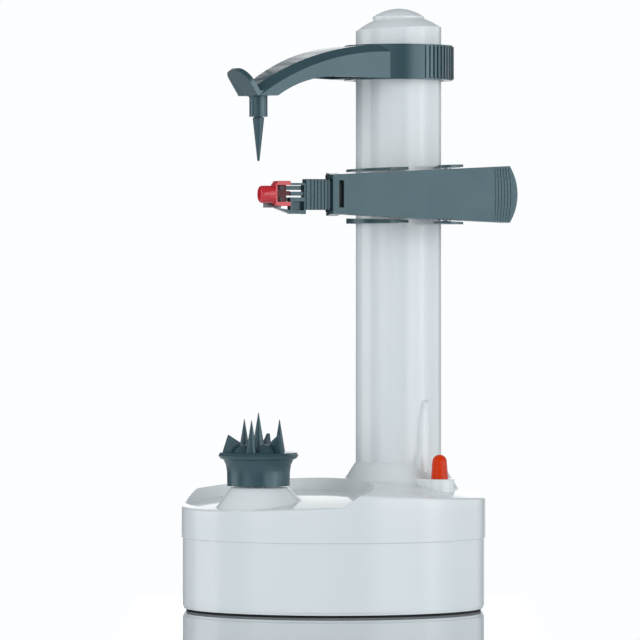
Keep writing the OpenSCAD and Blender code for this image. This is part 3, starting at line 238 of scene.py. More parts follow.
# %% Floor
BOARD_LOW, BOARD_STEEP = (0.5, 0.54, 0.56, 1), (0.95, 0.965, 0.98, 1)
BOARD_BOUNCE = (0.8, 0.84, 0.87, 1)
PATCH_FRONT = 0.12
PATCH_EDGE = (0.0735, 0.1)
STEEP, LOW = 0.76, 0.9


def mesh_object(name, verts, faces):
    mesh = bpy.data.meshes.new(name)
    mesh.from_pydata([tuple(v) for v in verts], [], faces)
    mesh.update()
    thing = bpy.data.objects.new(name, mesh)
    scene.collection.objects.link(thing)
    return thing


def floor_material():
    material = bpy.data.materials.new("floor_board")
    material.use_nodes = True
    tree = material.node_tree
    polish = tree.nodes["Principled BSDF"]
    polish.inputs["Roughness"].default_value = 0.03
    polish.inputs["IOR"].default_value = 1.45
    slant = tree.nodes.new("ShaderNodeLayerWeight")
    slant.inputs["Blend"].default_value = 0.5
    facing = slant.outputs["Facing"]
    tone = mix_colour(tree, span(tree, facing, STEEP, LOW), BOARD_STEEP, BOARD_LOW)
    link(tree, tone, polish.inputs["Base Color"])
    x, y, _ = axes_of(tree, own_place(tree))
    before = math_node(tree, "MULTIPLY_ADD", y, -1.0, -PATCH_FRONT)
    away = math_node(tree, "MAXIMUM", math_node(tree, "ABSOLUTE", x),
                     math_node(tree, "MAXIMUM", y, before))
    pale = math_node(tree, "MAXIMUM", span(tree, away, *PATCH_EDGE),
                     span(tree, facing, LOW, STEEP, 0.0, 0.72))
    path = tree.nodes.new("ShaderNodeLightPath").outputs
    glow = tree.nodes.new("ShaderNodeEmission")
    glow.inputs["Color"].default_value = BACKDROP
    seen = mix_shaders(tree, math_node(tree, "MULTIPLY", pale, path["Is Camera Ray"]),
                       polish.outputs[0], glow.outputs[0])
    bounce = tree.nodes.new("ShaderNodeBsdfDiffuse")
    bounce.inputs["Color"].default_value = BOARD_BOUNCE
    top = mix_shaders(tree, path["Is Diffuse Ray"], seen, bounce.outputs[0])
    under = tree.nodes.new("ShaderNodeNewGeometry").outputs["Backfacing"]
    clear = tree.nodes.new("ShaderNodeBsdfTransparent")
    both = mix_shaders(tree, under, top, clear.outputs[0])
    link(tree, both, tree.nodes["Material Output"].inputs["Surface"])
    return material


floor = mesh_object("floor_board", [(-6, -4, 0), (6, -4, 0), (6, 8, 0), (-6, 8, 0)], [(0, 1, 2, 3)])
floor.data.materials.append(floor_material())
print("floor", tuple(round(v, 2) for v in floor.dimensions))

# %% [markdown]
# Moulded plastic is never one flat colour. Its skin carries a fine grain from the mould, a faint
# cloudiness in tone, and patches that are a little duller from handling. One node group makes all
# three, so that every plastic here shares the same kind of skin at its own size.

# %% Shared group: moulded skin
COLOUR, NUMBER, VECTOR = "NodeSocketColor", "NodeSocketFloat", "NodeSocketVector"
SKIN_OUTPUTS = [("Colour", COLOUR), ("Roughness", NUMBER), ("Normal", VECTOR)]


def new_group(name, inputs):
    tree = bpy.data.node_groups.new(name, "ShaderNodeTree")
    for label, kind, value in inputs:
        socket = tree.interface.new_socket(label, in_out="INPUT", socket_type=kind)
        socket.default_value = value
    for label, kind in SKIN_OUTPUTS:
        tree.interface.new_socket(label, in_out="OUTPUT", socket_type=kind)
    given = tree.nodes.new("NodeGroupInput").outputs
    return tree, given, tree.nodes.new("NodeGroupOutput").inputs


def noise(tree, vector, scale, detail=2.0, roughness=0.5):
    node = tree.nodes.new("ShaderNodeTexNoise")
    feed(tree, [node.inputs[label] for label in ("Vector", "Scale", "Detail", "Roughness")],
         (vector, scale, detail, roughness))
    return node.outputs[0]


def bump(tree, height, strength, distance):
    node = tree.nodes.new("ShaderNodeBump")
    feed(tree, [node.inputs[label] for label in ("Height", "Strength", "Distance")],
         (height, strength, distance))
    return node.outputs[0]


def make_moulded_skin():
    tree, given, put = new_group("moulded_skin", [
        ("Colour", COLOUR, (0.5, 0.5, 0.5, 1)), ("Cloud", COLOUR, (0.45, 0.45, 0.45, 1)),
        ("Grain per metre", NUMBER, 2500.0), ("Grain", NUMBER, 0.1),
        ("Roughness", NUMBER, 0.3), ("Handled", NUMBER, 0.08)])
    place = own_place(tree)
    cloud = span(tree, noise(tree, place, 24.0, 4.0, 0.6), 0.35, 0.7)
    handled = span(tree, noise(tree, place, 70.0, 3.0, 0.55), 0.4, 0.75)
    grain = noise(tree, place, given["Grain per metre"], 3.0, 0.6)
    speck = span(tree, noise(tree, place, 900.0, 1.0, 0.5), 0.74, 0.8)
    colour = mix_colour(tree, cloud, given["Colour"], given["Cloud"])
    specked = mix_colour(tree, math_node(tree, "MULTIPLY", speck, 0.12), colour, given["Cloud"])
    rough = math_node(tree, "MULTIPLY_ADD", handled, given["Handled"], given["Roughness"])
    link(tree, specked, put["Colour"])
    link(tree, rough, put["Roughness"])
    link(tree, bump(tree, grain, given["Grain"], 0.0002), put["Normal"])
    return tree


moulded_skin = make_moulded_skin()
print("group", moulded_skin.name, len(moulded_skin.nodes))

# %% [markdown]
# The plastics differ in colour and in how polished the mould was. The white shells are polished,
# the slate parts are satin and the guard is a glossy red. The dull black, the cream nylon of the
# gears and the rubber of the foot have a coarser grain, which breaks up their reflections.

# %% Plastics
def principled(name, **constants):
    material = bpy.data.materials.new(name)
    material.use_nodes = True
    tree = material.node_tree
    shader = tree.nodes["Principled BSDF"]
    for label, value in constants.items():
        shader.inputs[label.replace("_", " ")].default_value = value
    return material, tree, shader


def use_group(tree, group, **values):
    node = tree.nodes.new("ShaderNodeGroup")
    node.node_tree = group
    for label, value in values.items():
        node.inputs[label.replace("_", " ")].default_value = value
    return node.outputs


def lead(tree, skin, shader):
    """Leads a group's colour, roughness and normal to the shader."""
    link(tree, skin["Colour"], shader.inputs["Base Color"])
    link(tree, skin["Roughness"], shader.inputs["Roughness"])
    link(tree, skin["Normal"], shader.inputs["Normal"])


def plastic(name, colour, cloud, rough, handled, grain, per_metre, IOR=1.47, **constants):
    material, tree, shader = principled(name, IOR=IOR, **constants)
    lead(tree, use_group(tree, moulded_skin, Colour=(*colour, 1), Cloud=(*cloud, 1), Roughness=rough,
                         Handled=handled, Grain=grain, Grain_per_metre=per_metre), shader)
    return material


white_plastic = plastic("white_plastic", (0.725, 0.762, 0.775), (0.705, 0.747, 0.765),
                        0.05, 0.05, 0.015, 1400.0, Specular_IOR_Level=0.65)
slate_plastic = plastic("slate_plastic", (0.032, 0.069, 0.083), (0.027, 0.061, 0.075),
                        0.2, 0.08, 0.12, 3600.0,
                        Specular_IOR_Level=0.9, Specular_Tint=(0.74, 0.93, 1.0, 1.0))
red_plastic = plastic("red_plastic", (0.62, 0.016, 0.03), (0.5, 0.01, 0.02),
                      0.1, 0.06, 0.04, 2000.0, Specular_IOR_Level=0.9)
black_plastic = plastic("black_plastic", (0.02, 0.021, 0.023), (0.016, 0.017, 0.019),
                        0.42, 0.1, 0.2, 2600.0)
nylon = plastic("nylon", (0.72, 0.7, 0.63), (0.66, 0.63, 0.55), 0.42, 0.12, 0.12, 1800.0)
foot_rubber = plastic("foot_rubber", (0.006, 0.006, 0.007), (0.012, 0.012, 0.013),
                      0.72, 0.12, 0.35, 3000.0)
print("plastics", [m.name for m in bpy.data.materials])

# %% [markdown]
# The start button is clear orange plastic. Light enters it and comes out again, so a little of the
# shader lets light through while the rest keeps the strong colour. A weak coat and a low specular
# level stop the bright room from washing the colour out.

# %% Clear orange
orange_clear = plastic("clear_orange", (0.7, 0.034, 0.001), (0.76, 0.056, 0.002),
                       0.14, 0.06, 0.02, 1500.0, IOR=1.49, Transmission_Weight=0.1,
                       Coat_Weight=0.05, Coat_Roughness=0.04, Specular_IOR_Level=0.15)
print(orange_clear.name)

# %% [markdown]
# Machined metal keeps the lines of the tool. The group draws fine streaks along one axis and lets
# them change both the tone and the roughness, so shafts, springs and the blade share it.

# %% Shared group: tool lines
ROUND_Z, ALONG_Z = (1.0, 1.0, 40.0), (40.0, 40.0, 1.0)


def make_tool_lines():
    tree, given, put = new_group("tool_lines", [
        ("Colour", COLOUR, (0.6, 0.6, 0.6, 1)), ("Dark", COLOUR, (0.4, 0.4, 0.4, 1)),
        ("Along", VECTOR, ROUND_Z), ("Roughness", NUMBER, 0.3), ("Depth", NUMBER, 0.2)])
    place = own_place(tree)
    stretch = tree.nodes.new("ShaderNodeVectorMath")
    stretch.operation = "MULTIPLY"
    feed(tree, stretch.inputs, (place, given["Along"]))
    lines = noise(tree, stretch.outputs[0], 120.0, 5.0, 0.65)
    stain = span(tree, noise(tree, place, 60.0, 3.0, 0.6), 0.45, 0.8)
    tone = math_node(tree, "MULTIPLY", span(tree, lines, 0.35, 0.7), 0.6)
    dark = math_node(tree, "MAXIMUM", tone, math_node(tree, "MULTIPLY", stain, 0.4))
    rough = math_node(tree, "MULTIPLY_ADD", lines, 0.18, given["Roughness"])
    link(tree, mix_colour(tree, dark, given["Colour"], given["Dark"]), put["Colour"])
    link(tree, rough, put["Roughness"])
    link(tree, bump(tree, lines, given["Depth"], 0.0001), put["Normal"])
    return tree


tool_lines = make_tool_lines()


def metal(name, colour, dark, rough, along=ROUND_Z, depth=0.2):
    material, tree, shader = principled(name, Metallic=1.0)
    lead(tree, use_group(tree, tool_lines, Colour=(*colour, 1), Dark=(*dark, 1), Along=along,
                         Roughness=rough, Depth=depth), shader)
    return material


steel = metal("steel", (0.6, 0.61, 0.63), (0.42, 0.43, 0.45), 0.24)
blade_steel = metal("blade_steel", (0.16, 0.16, 0.17), (0.1, 0.1, 0.11), 0.24, ALONG_Z, 0.12)
dark_steel = metal("dark_steel", (0.1, 0.1, 0.105), (0.05, 0.05, 0.055), 0.34)
brass = metal("brass", (0.72, 0.52, 0.22), (0.5, 0.34, 0.13), 0.28, ALONG_Z)
print("metals", steel.name, blade_steel.name, dark_steel.name, brass.name)

# %% [markdown]
# Two finishes belong to single pieces. A cell's printed jacket is dark with a copper-coloured band
# at one end, which needs only a step along the cell. The circuit board is green lacquer with paler
# copper tracks under it, and a brick pattern's mortar lines are near enough to tracks.

# %% Cell jacket and circuit board
def cell_jacket():
    material, tree, shader = principled("cell_jacket", IOR=1.5, Coat_Weight=0.5, Coat_Roughness=0.1)
    band = span(tree, axes_of(tree, own_place(tree))[1], 0.0148, 0.0152)
    skin = use_group(tree, moulded_skin, Colour=(0.02, 0.024, 0.03, 1), Cloud=(0.028, 0.033, 0.04, 1),
                     Roughness=0.22, Handled=0.1, Grain=0.03, Grain_per_metre=1500.0)
    copper = mix_colour(tree, band, skin["Colour"], (0.55, 0.25, 0.11, 1))
    link(tree, copper, shader.inputs["Base Color"])
    link(tree, math_node(tree, "MULTIPLY", band, 0.85), shader.inputs["Metallic"])
    link(tree, skin["Roughness"], shader.inputs["Roughness"])
    return material


def board_lacquer():
    material, tree, shader = principled("board_lacquer", IOR=1.5, Coat_Weight=0.3, Coat_Roughness=0.15)
    place = own_place(tree)
    tracks = tree.nodes.new("ShaderNodeTexBrick")
    feed(tree, [tracks.inputs[label] for label in
                ("Vector", "Scale", "Mortar Size", "Color1", "Color2", "Mortar")],
         (place, 260.0, 0.06, (0.01, 0.11, 0.05, 1), (0.012, 0.13, 0.06, 1), (0.05, 0.24, 0.1, 1)))
    rough = span(tree, noise(tree, place, 300.0), 0.3, 0.7, 0.28, 0.42)
    link(tree, tracks.outputs["Color"], shader.inputs["Base Color"])
    link(tree, rough, shader.inputs["Roughness"])
    link(tree, bump(tree, tracks.outputs["Fac"], 0.3, 0.0001), shader.inputs["Normal"])
    return material


jacket = cell_jacket()
lacquer = board_lacquer()
print(jacket.name, lacquer.name)

# %% [markdown]
# Each solid gets its finish by name. One table, grouped by what the pieces are made of, is easier
# to check than a line for each, and the print shows at once if a piece was forgotten.

# %% Dress the solids
FINISHES = {
    white_plastic: ["upper_shell", "lower_shell", "column_tube", "column_cap", "column_fin",
                    "battery_door"],
    slate_plastic: ["food_holder", "peel_carriage", "peel_lever", "cutter_sleeve", "blade_fork",
                    "upper_arm", "upper_pin"],
    red_plastic: ["blade_guard"],
    orange_clear: ["start_button"],
    foot_rubber: ["foot_ring"],
    steel: ["shell_screws", "plate_screws", "nut_screws", "gear_axle", "motor_shaft", "spindle",
            "lead_screw", "pivot_pin", "arm_spring", "button_spring", "pin_clip",
            "battery_contacts", "motor"],
    blade_steel: ["blade"],
    dark_steel: ["blade_pins"],
    nylon: ["gear_plate", "transfer_gear", "spindle_gear", "screw_gear", "screw_guide", "drive_nut",
            "arm_liner"],
    brass: ["motor_pinion", "spindle_bush"],
    jacket: ["batteries"],
    lacquer: ["circuit_board"],
    black_plastic: ["start_switch", "dc_jack"],
}


def dress(thing, material):
    thing.data.materials.clear()
    thing.data.materials.append(material)


for material, names in FINISHES.items():
    for name in names:
        dress(nodes[name], material)
undressed = sorted(set(nodes) - {name for names in FINISHES.values() for name in names})
print("undressed", undressed)

# %% [markdown]
# The upper shell is the piece that the eye rests on, so it is made as one height field. Each
# feature gives a height over the plan: the dome, the dish cut into it, the boss in the dish and the
# sloping foot of the column. A soft minimum or maximum joins them, which leaves the small fillets
# of a real mould.

# %% Heights of the upper shell
import numpy as np

FOOD = np.array([-35.7, -25.0])
COLUMN = np.array([31.5, 19.5])
HALF_LONG, HALF_WIDE = 73.0, 54.5
DOME_RADIUS = 366
DOME_CENTRE = np.array([-4.9, 6.9, 62.8 - DOME_RADIUS])
DISH_LOW, DISH_RADIUS = 52.6, 714
DISH_RIM, DISH_FLOOR = 55.7, 49
BOSS_WIDE, BOSS_NARROW, BOSS_TOP = 19.8, 13.4, 60.4
FOOT_RADIUS, FOOT_LOW, FOOT_TOP, FOOT_SLOPE = 24.9, 64.3, 71.0, 0.64
# How near in height, in mm, two features start to blend.
SOFT_BOSS_TOP, SOFT_FOOT_TOP, SOFT_DISH, SOFT_RIM, SOFT_BOSS, SOFT_FOOT = 0.7, 1.0, 0.8, 0.6, 0.8, 1.4
dish_origin = np.array([*FOOD, DISH_LOW])
to_dome = np.linalg.norm(dish_origin - DOME_CENTRE)
dish_axis = (dish_origin - DOME_CENTRE) / to_dome
rim_height = math.sqrt(DOME_RADIUS ** 2 - DISH_RIM ** 2) - to_dome
floor_drop = math.sqrt(DISH_RADIUS ** 2 - DISH_FLOOR ** 2) - DISH_RADIUS
dish_slope = (DISH_RIM - DISH_FLOOR) / (rim_height - floor_drop)
boss_slope = (BOSS_WIDE - BOSS_NARROW) / (BOSS_TOP - DISH_LOW)


def soft_max(a, b, k):
    return np.maximum(a, b) + np.maximum(k - np.abs(a - b), 0) ** 2 / (4 * k)


def soft_min(a, b, k):
    return np.minimum(a, b) - np.maximum(k - np.abs(a - b), 0) ** 2 / (4 * k)


def turned_height(x, y, profile):
    """Height over the plan of a profile that is turned about the leaning axis of the dish."""
    z = np.full_like(x, DISH_LOW)
    for _ in range(7):
        away = np.stack([x - dish_origin[0], y - dish_origin[1], z - dish_origin[2]], -1)
        along = away @ dish_axis
        out = np.sqrt(np.maximum((away ** 2).sum(-1) - along ** 2, 0))
        z = z + (profile(out) - along) / dish_axis[2]
    return z


def shell_height(x, y):
    across, along = (x - DOME_CENTRE[0]) ** 2, (y - DOME_CENTRE[1]) ** 2
    dome = DOME_CENTRE[2] + np.sqrt(DOME_RADIUS ** 2 - across - along)
    bowl = turned_height(x, y, lambda r: np.sqrt(DISH_RADIUS ** 2 - r ** 2) - DISH_RADIUS)
    wall = turned_height(x, y, lambda r: floor_drop + (r - DISH_FLOOR) / dish_slope)
    cone = turned_height(x, y, lambda r: (BOSS_WIDE - r) / boss_slope)
    boss = soft_min(cone, BOSS_TOP, SOFT_BOSS_TOP)
    to_column = np.hypot(x - COLUMN[0], y - COLUMN[1])
    foot = soft_min(FOOT_LOW + (FOOT_RADIUS - to_column) / FOOT_SLOPE, FOOT_TOP, SOFT_FOOT_TOP)
    height = soft_min(dome, soft_max(bowl, wall, SOFT_DISH), SOFT_RIM)
    return soft_max(soft_max(height, boss, SOFT_BOSS), foot, SOFT_FOOT)


probe = np.array([-35.7, -60.0, 20.0, 55.0])
print("heights in mm", shell_height(probe, np.array([-25.0, 0.0, -30.0, 19.5])).round(2))

# %% [markdown]
# A height field still needs points to stand on. A square grid would show steps at round creases, so
# the points lie in rings about the boss, and the rings crowd together where a crease passes. The
# outermost ring has to end on the oval edge, so each direction has its own reach.

# %% Rings about the boss
BUSH_RADIUS = 7.3
EVEN, CROWDED, OUTER, FAR_OUT = 0.85, 2.6, 0.5, 62
CREASES = [(BOSS_NARROW, 1.2), (BOSS_WIDE, 1.8), (DISH_FLOOR, 1.6), (DISH_RIM, 1.8)]


def ring_radii(reach, count):
    """count radii from the bush to reach, crowded near each (radius, width) of CREASES."""
    fine = np.linspace(BUSH_RADIUS, reach, 900)
    weight = np.full_like(fine, EVEN)
    for place, width in CREASES:
        weight += CROWDED * np.exp(-((fine - place) / width) ** 2)
    weight += np.where(fine > FAR_OUT, OUTER, 0.0)
    total = np.concatenate([[0], np.cumsum((weight[1:] + weight[:-1]) / 2 * np.diff(fine))])
    return np.interp(np.linspace(0, total[-1], count), total, fine)


def oval_reach(angle, inset=0.0):
    """Distance from the boss to the base's oval edge, moved in by inset."""
    a, b = HALF_LONG - inset, HALF_WIDE - inset
    c, s = math.cos(angle), math.sin(angle)
    qa = (c / a) ** 2 + (s / b) ** 2
    qb = 2 * (FOOD[0] * c / a ** 2 + FOOD[1] * s / b ** 2)
    qc = (FOOD[0] / a) ** 2 + (FOOD[1] / b) ** 2 - 1
    return (-qb + math.sqrt(qb * qb - 4 * qa * qc)) / (2 * qa)


def loop_mesh(name, rings, closed_along=False):
    """rings: array (rings, points, 3) in mm. Neighbouring rings are joined by quads."""
    rings = np.asarray(rings)
    count, points = rings.shape[:2]
    faces = []
    for i in range(count if closed_along else count - 1):
        k = (i + 1) % count
        for j in range(points):
            n = (j + 1) % points
            faces.append((i * points + j, i * points + n, k * points + n, k * points + j))
    return mesh_object(name, rings.reshape(-1, 3) * MM, faces)


print("reach in mm", [round(oval_reach(math.radians(a)), 1) for a in (0, 90, 180, 270)])

# %% [markdown]
# At the oval edge the skin turns down through a small radius, runs down the wall to the seam, and
# comes back up inside as a second skin, so the piece is one closed shell of even thickness. Every
# new piece then gets the same last steps: clean faces, smooth shading, a finish and its body.

# %% Upper shell
SEAM_EDGE, SEAM_FACE, SEAM_CHAMFER = 35.2, 34.9, 0.3
EDGE_RADIUS, WALL, CORNER_DROP = 1.2, 2.4, 0.8
TURNS, RINGS = 360, 150
body_of = {node: body for body, members in frame["record"]["behaviour"]["bodies"].items()
           for node in members}


def make_upper_shell():
    angles = np.arange(TURNS) * 2 * math.pi / TURNS
    aim = np.stack([np.cos(angles), np.sin(angles)], -1)
    rim = np.array([FOOD + d * oval_reach(a) for d, a in zip(aim, angles)])
    out = np.stack([rim[:, 0] / HALF_LONG ** 2, rim[:, 1] / HALF_WIDE ** 2], -1)
    out /= np.linalg.norm(out, axis=1, keepdims=True)
    reach = np.array([oval_reach(a) for a in angles]) - EDGE_RADIUS / (aim * out).sum(1)
    radii = np.stack([ring_radii(r, RINGS) for r in reach], 1)
    plan = FOOD + radii[..., None] * aim
    top = np.concatenate([plan, shell_height(plan[..., 0], plan[..., 1])[..., None]], -1)
    last = top[-1]
    nudge = 0.3
    inside = plan[-1] - out * nudge
    slope = (last[:, 2] - shell_height(inside[:, 0], inside[:, 1])) / nudge
    rings = list(top)
    for degrees in (15, 30, 45, 60, 75, 90):
        a = math.radians(degrees)
        lean = slope * EDGE_RADIUS * math.sin(a) * (1 - degrees / 90)
        z = last[:, 2] + lean - EDGE_RADIUS * (1 - math.cos(a))
        rings.append(np.column_stack([plan[-1] + out * EDGE_RADIUS * math.sin(a), z]))
    edge, wall_top = rings[-1][:, :2], rings[-1][:, 2]
    for share in (0.25, 0.5, 0.75, 1.0):
        rings.append(np.column_stack([edge, wall_top + (SEAM_EDGE - wall_top) * share]))
    seam = np.full(TURNS, SEAM_FACE)
    rings.append(np.column_stack([edge - out * SEAM_CHAMFER, seam]))
    rings.append(np.column_stack([rings[-1][:, :2] - out * (WALL - SEAM_CHAMFER), seam]))
    low_reach = np.array([oval_reach(a, WALL) for a in angles])
    for share in np.linspace(1, 0, 16):
        place = FOOD + (BUSH_RADIUS + (low_reach - BUSH_RADIUS) * share)[:, None] * aim
        drop = CORNER_DROP if share == 1 else 0
        inner = shell_height(place[:, 0], place[:, 1]) - WALL - drop
        rings.append(np.column_stack([place, inner]))
    return loop_mesh("upper_shell_skin", rings, closed_along=True)


def clean_faces(thing, gap=2e-6):
    """Merges points that lie together and turns the faces outwards."""
    work = bmesh.new()
    work.from_mesh(thing.data)
    bmesh.ops.remove_doubles(work, verts=work.verts, dist=gap)
    bmesh.ops.recalc_face_normals(work, faces=work.faces)
    work.to_mesh(thing.data)
    work.free()


def smooth(thing, sharp):
    """Smooth shading, split at edges sharper than so many degrees."""
    thing.data.shade_smooth()
    thing.data.set_sharp_from_angle(angle=math.radians(sharp))


def stand_for(thing, node):
    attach(thing, body_of[node])
    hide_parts(node)


def finish_piece(thing, material, node, sharp=40.0):
    clean_faces(thing)
    smooth(thing, sharp)
    dress(thing, material)
    stand_for(thing, node)
    return thing


upper_shell_skin = finish_piece(make_upper_shell(), white_plastic, "upper_shell")
print("upper shell faces", len(upper_shell_skin.data.polygons))

# %% [markdown]
# The raised pad carries the start button. Its wall stands straight up from the dome and its top edge
# is rounded by half a millimetre. It is a closed ring of its own that is sunk in the dome, because
# the dome's wide rings would blur so small a shape, and it stands for the same moulding.

# %% Pad for the button
BUTTON_TURN = -57
BUTTON_AIM = np.array([math.cos(math.radians(BUTTON_TURN)), math.sin(math.radians(BUTTON_TURN))])
BUTTON = COLUMN + 35.2 * BUTTON_AIM
PAD_RADIUS, PAD_BACK, PAD_POINTS = 7.1, 13.0, 144
PAD_OUTSIDE = [(0, 55.0), (0, 62.8), (0.08, 63.1), (0.3, 63.32), (0.6, 63.4)]
PAD_HOLE = [(4.7, 63.4), (4.45, 63.3), (4.4, 63.1), (4.4, 55.0)]


def pad_reach(angle, inset):
    """Distance from the button's axis to the pad's outline, which runs straight to the column."""
    back = math.radians(BUTTON_TURN + 180)
    turn = (angle - back + math.pi) % (2 * math.pi) - math.pi
    r = PAD_RADIUS - inset
    if abs(turn) >= math.pi / 2 - 0.02:
        return r
    return min(r / max(abs(math.sin(turn)), 1e-6), PAD_BACK)


def make_pad():
    angles = np.arange(PAD_POINTS) * 2 * math.pi / PAD_POINTS
    levels = [(np.array([pad_reach(a, inset) for a in angles]), z) for inset, z in PAD_OUTSIDE]
    rings = [np.column_stack([BUTTON[0] + r * np.cos(angles), BUTTON[1] + r * np.sin(angles),
                              np.full(PAD_POINTS, z)]) for r, z in levels + PAD_HOLE]
    return loop_mesh("button_pad", rings, closed_along=True)


button_pad = finish_piece(make_pad(), white_plastic, "upper_shell")
print("pad box", [round(v / MM, 1) for v in button_pad.dimensions])

# %% [markdown]
# The other mouldings keep the shape of their solids, but a solid has knife edges and no mould does.
# A copy of each is welded, its flat faces are made whole, and every real edge gets a small radius,
# wider on large parts and under a fifth of a millimetre on the fine ones.

# %% Rounded mouldings
def settle(thing):
    """Turns the modifiers into a plain mesh."""
    seen = thing.evaluated_get(bpy.context.evaluated_depsgraph_get())
    settled = bpy.data.meshes.new_from_object(seen)
    thing.modifiers.clear()
    thing.data = settled


def rounded_copy(name, node, width, material, limit=32.0):
    """width: the radius in mm. limit: the least angle, in degrees, that counts as an edge."""
    thing = bpy.data.objects.new(name, nodes[node].data.copy())
    scene.collection.objects.link(thing)
    if "custom_normal" in thing.data.attributes:
        thing.data.attributes.remove(thing.data.attributes["custom_normal"])
    weld = thing.modifiers.new("weld", "WELD")
    weld.merge_threshold = 2e-6
    whole = thing.modifiers.new("whole faces", "DECIMATE")
    whole.decimate_type = "DISSOLVE"
    whole.angle_limit = math.radians(0.5)
    edge = thing.modifiers.new("radius", "BEVEL")
    edge.width = width * MM
    edge.segments = 2
    edge.limit_method = "ANGLE"
    edge.angle_limit = math.radians(limit)
    settle(thing)
    smooth(thing, limit + 6)
    even = thing.modifiers.new("even light", "WEIGHTED_NORMAL")
    even.keep_sharp = True
    settle(thing)
    dress(thing, material)
    stand_for(thing, node)
    return thing


ROUNDED = [
    ("lower_shell_tub", "lower_shell", 0.5, white_plastic),
    ("foot_band", "foot_ring", 0.2, foot_rubber),
    ("cap_moulding", "column_cap", 0.4, white_plastic),
    ("door_moulding", "battery_door", 0.25, white_plastic),
    ("carriage_moulding", "peel_carriage", 0.3, slate_plastic),
    ("lever_moulding", "peel_lever", 0.16, slate_plastic),
    ("sleeve_moulding", "cutter_sleeve", 0.18, slate_plastic),
    ("fork_moulding", "blade_fork", 0.15, slate_plastic),
    ("guard_moulding", "blade_guard", 0.2, red_plastic),
    ("arm_moulding", "upper_arm", 0.45, slate_plastic),
    ("holder_moulding", "food_holder", 0.3, slate_plastic),
    ("centre_pin_moulding", "upper_pin", 0.15, slate_plastic),
    ("button_cap", "start_button", 0.25, orange_clear),
    ("jack_body", "dc_jack", 0.2, black_plastic),
    ("switch_body", "start_switch", 0.15, black_plastic),
    ("motor_can", "motor", 0.4, steel),
]
rounded = {row[0]: rounded_copy(*row) for row in ROUNDED}
for name, thing in rounded.items():
    print(name, len(thing.data.polygons))

# %% [markdown]
# The guard has a shallow well in its front face. The bottom of a well gets less light than the face
# around it, and on a piece this small painted shade shows that better than shadow alone. Its faces are
# found by their direction and their depth, and take a deeper, duller red, which is painted shade and
# not the guard's own colour.

# %% Painted shade in the guard's well
LEVER_PIVOT = (54, -8)
LEVER_TURN = math.radians(18)
WELL_DEPTH = (0.6, 1.6)

# A deeper, duller red that paints the shade at the bottom of the guard's well.
well_painted_shade = plastic("well_painted_shade", (0.12, 0.012, 0.02), (0.07, 0.012, 0.016), 0.4, 0.1, 0.1, 2600.0)
guard = rounded["guard_moulding"].data
guard.materials.append(well_painted_shade)
lever_front = Vector((math.sin(LEVER_TURN), -math.cos(LEVER_TURN), 0))
lever_middle = Vector((LEVER_PIVOT[0] * MM, LEVER_PIVOT[1] * MM, 0))
well = [face for face in guard.polygons if face.normal.dot(lever_front) > 0.9
        and WELL_DEPTH[0] < (face.center - lever_middle).dot(lever_front) / MM < WELL_DEPTH[1]]
# The faces at the bottom of the well take the painted shade.
for face in well:
    face.material_index = len(guard.materials) - 1
print("faces in the guard's well", len(well))

# %% [markdown]
# The arm ends in a plate for the finger. The plate's round corner leaves a small lobe that hangs
# under the arm's straight lower line. Moving points is enough to flatten it: those beyond the pin
# that lie too low are lifted to the line.

# %% Lower line of the arm
ARM_LOW = 245.8 * MM
ARM_AIM = (0.834, 0.552)
BEYOND_PIN = -4.6

arm = rounded["arm_moulding"].data
lobe = [v for v in arm.vertices if v.co.z < ARM_LOW and
        (v.co.x / MM - FOOD[0]) * ARM_AIM[0] + (v.co.y / MM - FOOD[1]) * ARM_AIM[1] < BEYOND_PIN]
for v in lobe:
    v.co.z = ARM_LOW
print("points lifted to the arm's lower line", len(lobe))

# %% [markdown]
# A low tongue runs up the column behind the button. It is a soft moulding, not a plate: its section
# is a flattened arch whose left side leans in towards the top, where it ends in a small round brow.
# Sections are laid up the column one above the other and joined.

# %% Fairing behind the button
TONGUE_LOW, TONGUE_TOP, BROW, BROW_HEIGHT = 62.6, 100.6, 98.6, 2.1
TONGUE_LEFT = [(TONGUE_LOW, -4.4), (70.6, -3.9), (76, -3.2), (88.3, -2.8), (95, -1.7),
               (TONGUE_TOP, -0.2)]
TONGUE_RIGHT = [(TONGUE_LOW, 4.6), (76, 4.0), (94, 3.9), (TONGUE_TOP, 3.5)]
TONGUE_PROUD = [(TONGUE_LOW, 3.0), (78, 2.2), (96, 1.7)]
COLUMN_RADIUS, SUNK = 20.8, 0.9
UPPERMOST = 100 * MM


def make_fairing():
    side = np.array([-BUTTON_AIM[1], BUTTON_AIM[0]])
    heights = np.concatenate([np.linspace(TONGUE_LOW, 96, 30), np.linspace(96.6, TONGUE_TOP, 12)])
    left, right, proud = (np.interp(heights, *zip(*table))
                          for table in (TONGUE_LEFT, TONGUE_RIGHT, TONGUE_PROUD))
    brow = 1 - ((heights - BROW) / BROW_HEIGHT) ** 2 * (heights > BROW)
    proud = proud * np.sqrt(np.clip(brow, 0.002, 1))
    across = np.linspace(-1, 1, 33)
    arch = (1 - np.abs(across) ** 5) ** 0.5
    rings = []
    for z, a, b, h in zip(heights, left, right, proud):
        s = (a + b) / 2 + (b - a) / 2 * across
        out = np.sqrt(COLUMN_RADIUS ** 2 - s ** 2) - SUNK + (h + SUNK) * arch
        points = [COLUMN + BUTTON_AIM * r + side * t for r, t in zip(out, s)]
        rings.append(np.column_stack([points, np.full(len(points), z)]))
    return loop_mesh("fairing_tongue", rings)


def close_ends(thing):
    """Closes the top with one face, then whatever is still open."""
    work = bmesh.new()
    work.from_mesh(thing.data)
    level = [e for e in work.edges if e.is_boundary and e.verts[0].co.z > UPPERMOST
             and abs(e.verts[0].co.z - e.verts[1].co.z) < 1e-9]
    bmesh.ops.contextual_create(work, geom=level)
    bmesh.ops.holes_fill(work, edges=[e for e in work.edges if e.is_boundary])
    work.to_mesh(thing.data)
    work.free()
    return thing


fairing = finish_piece(close_ends(make_fairing()), white_plastic, "column_fin", 60)
print("fairing faces", len(fairing.data.polygons))
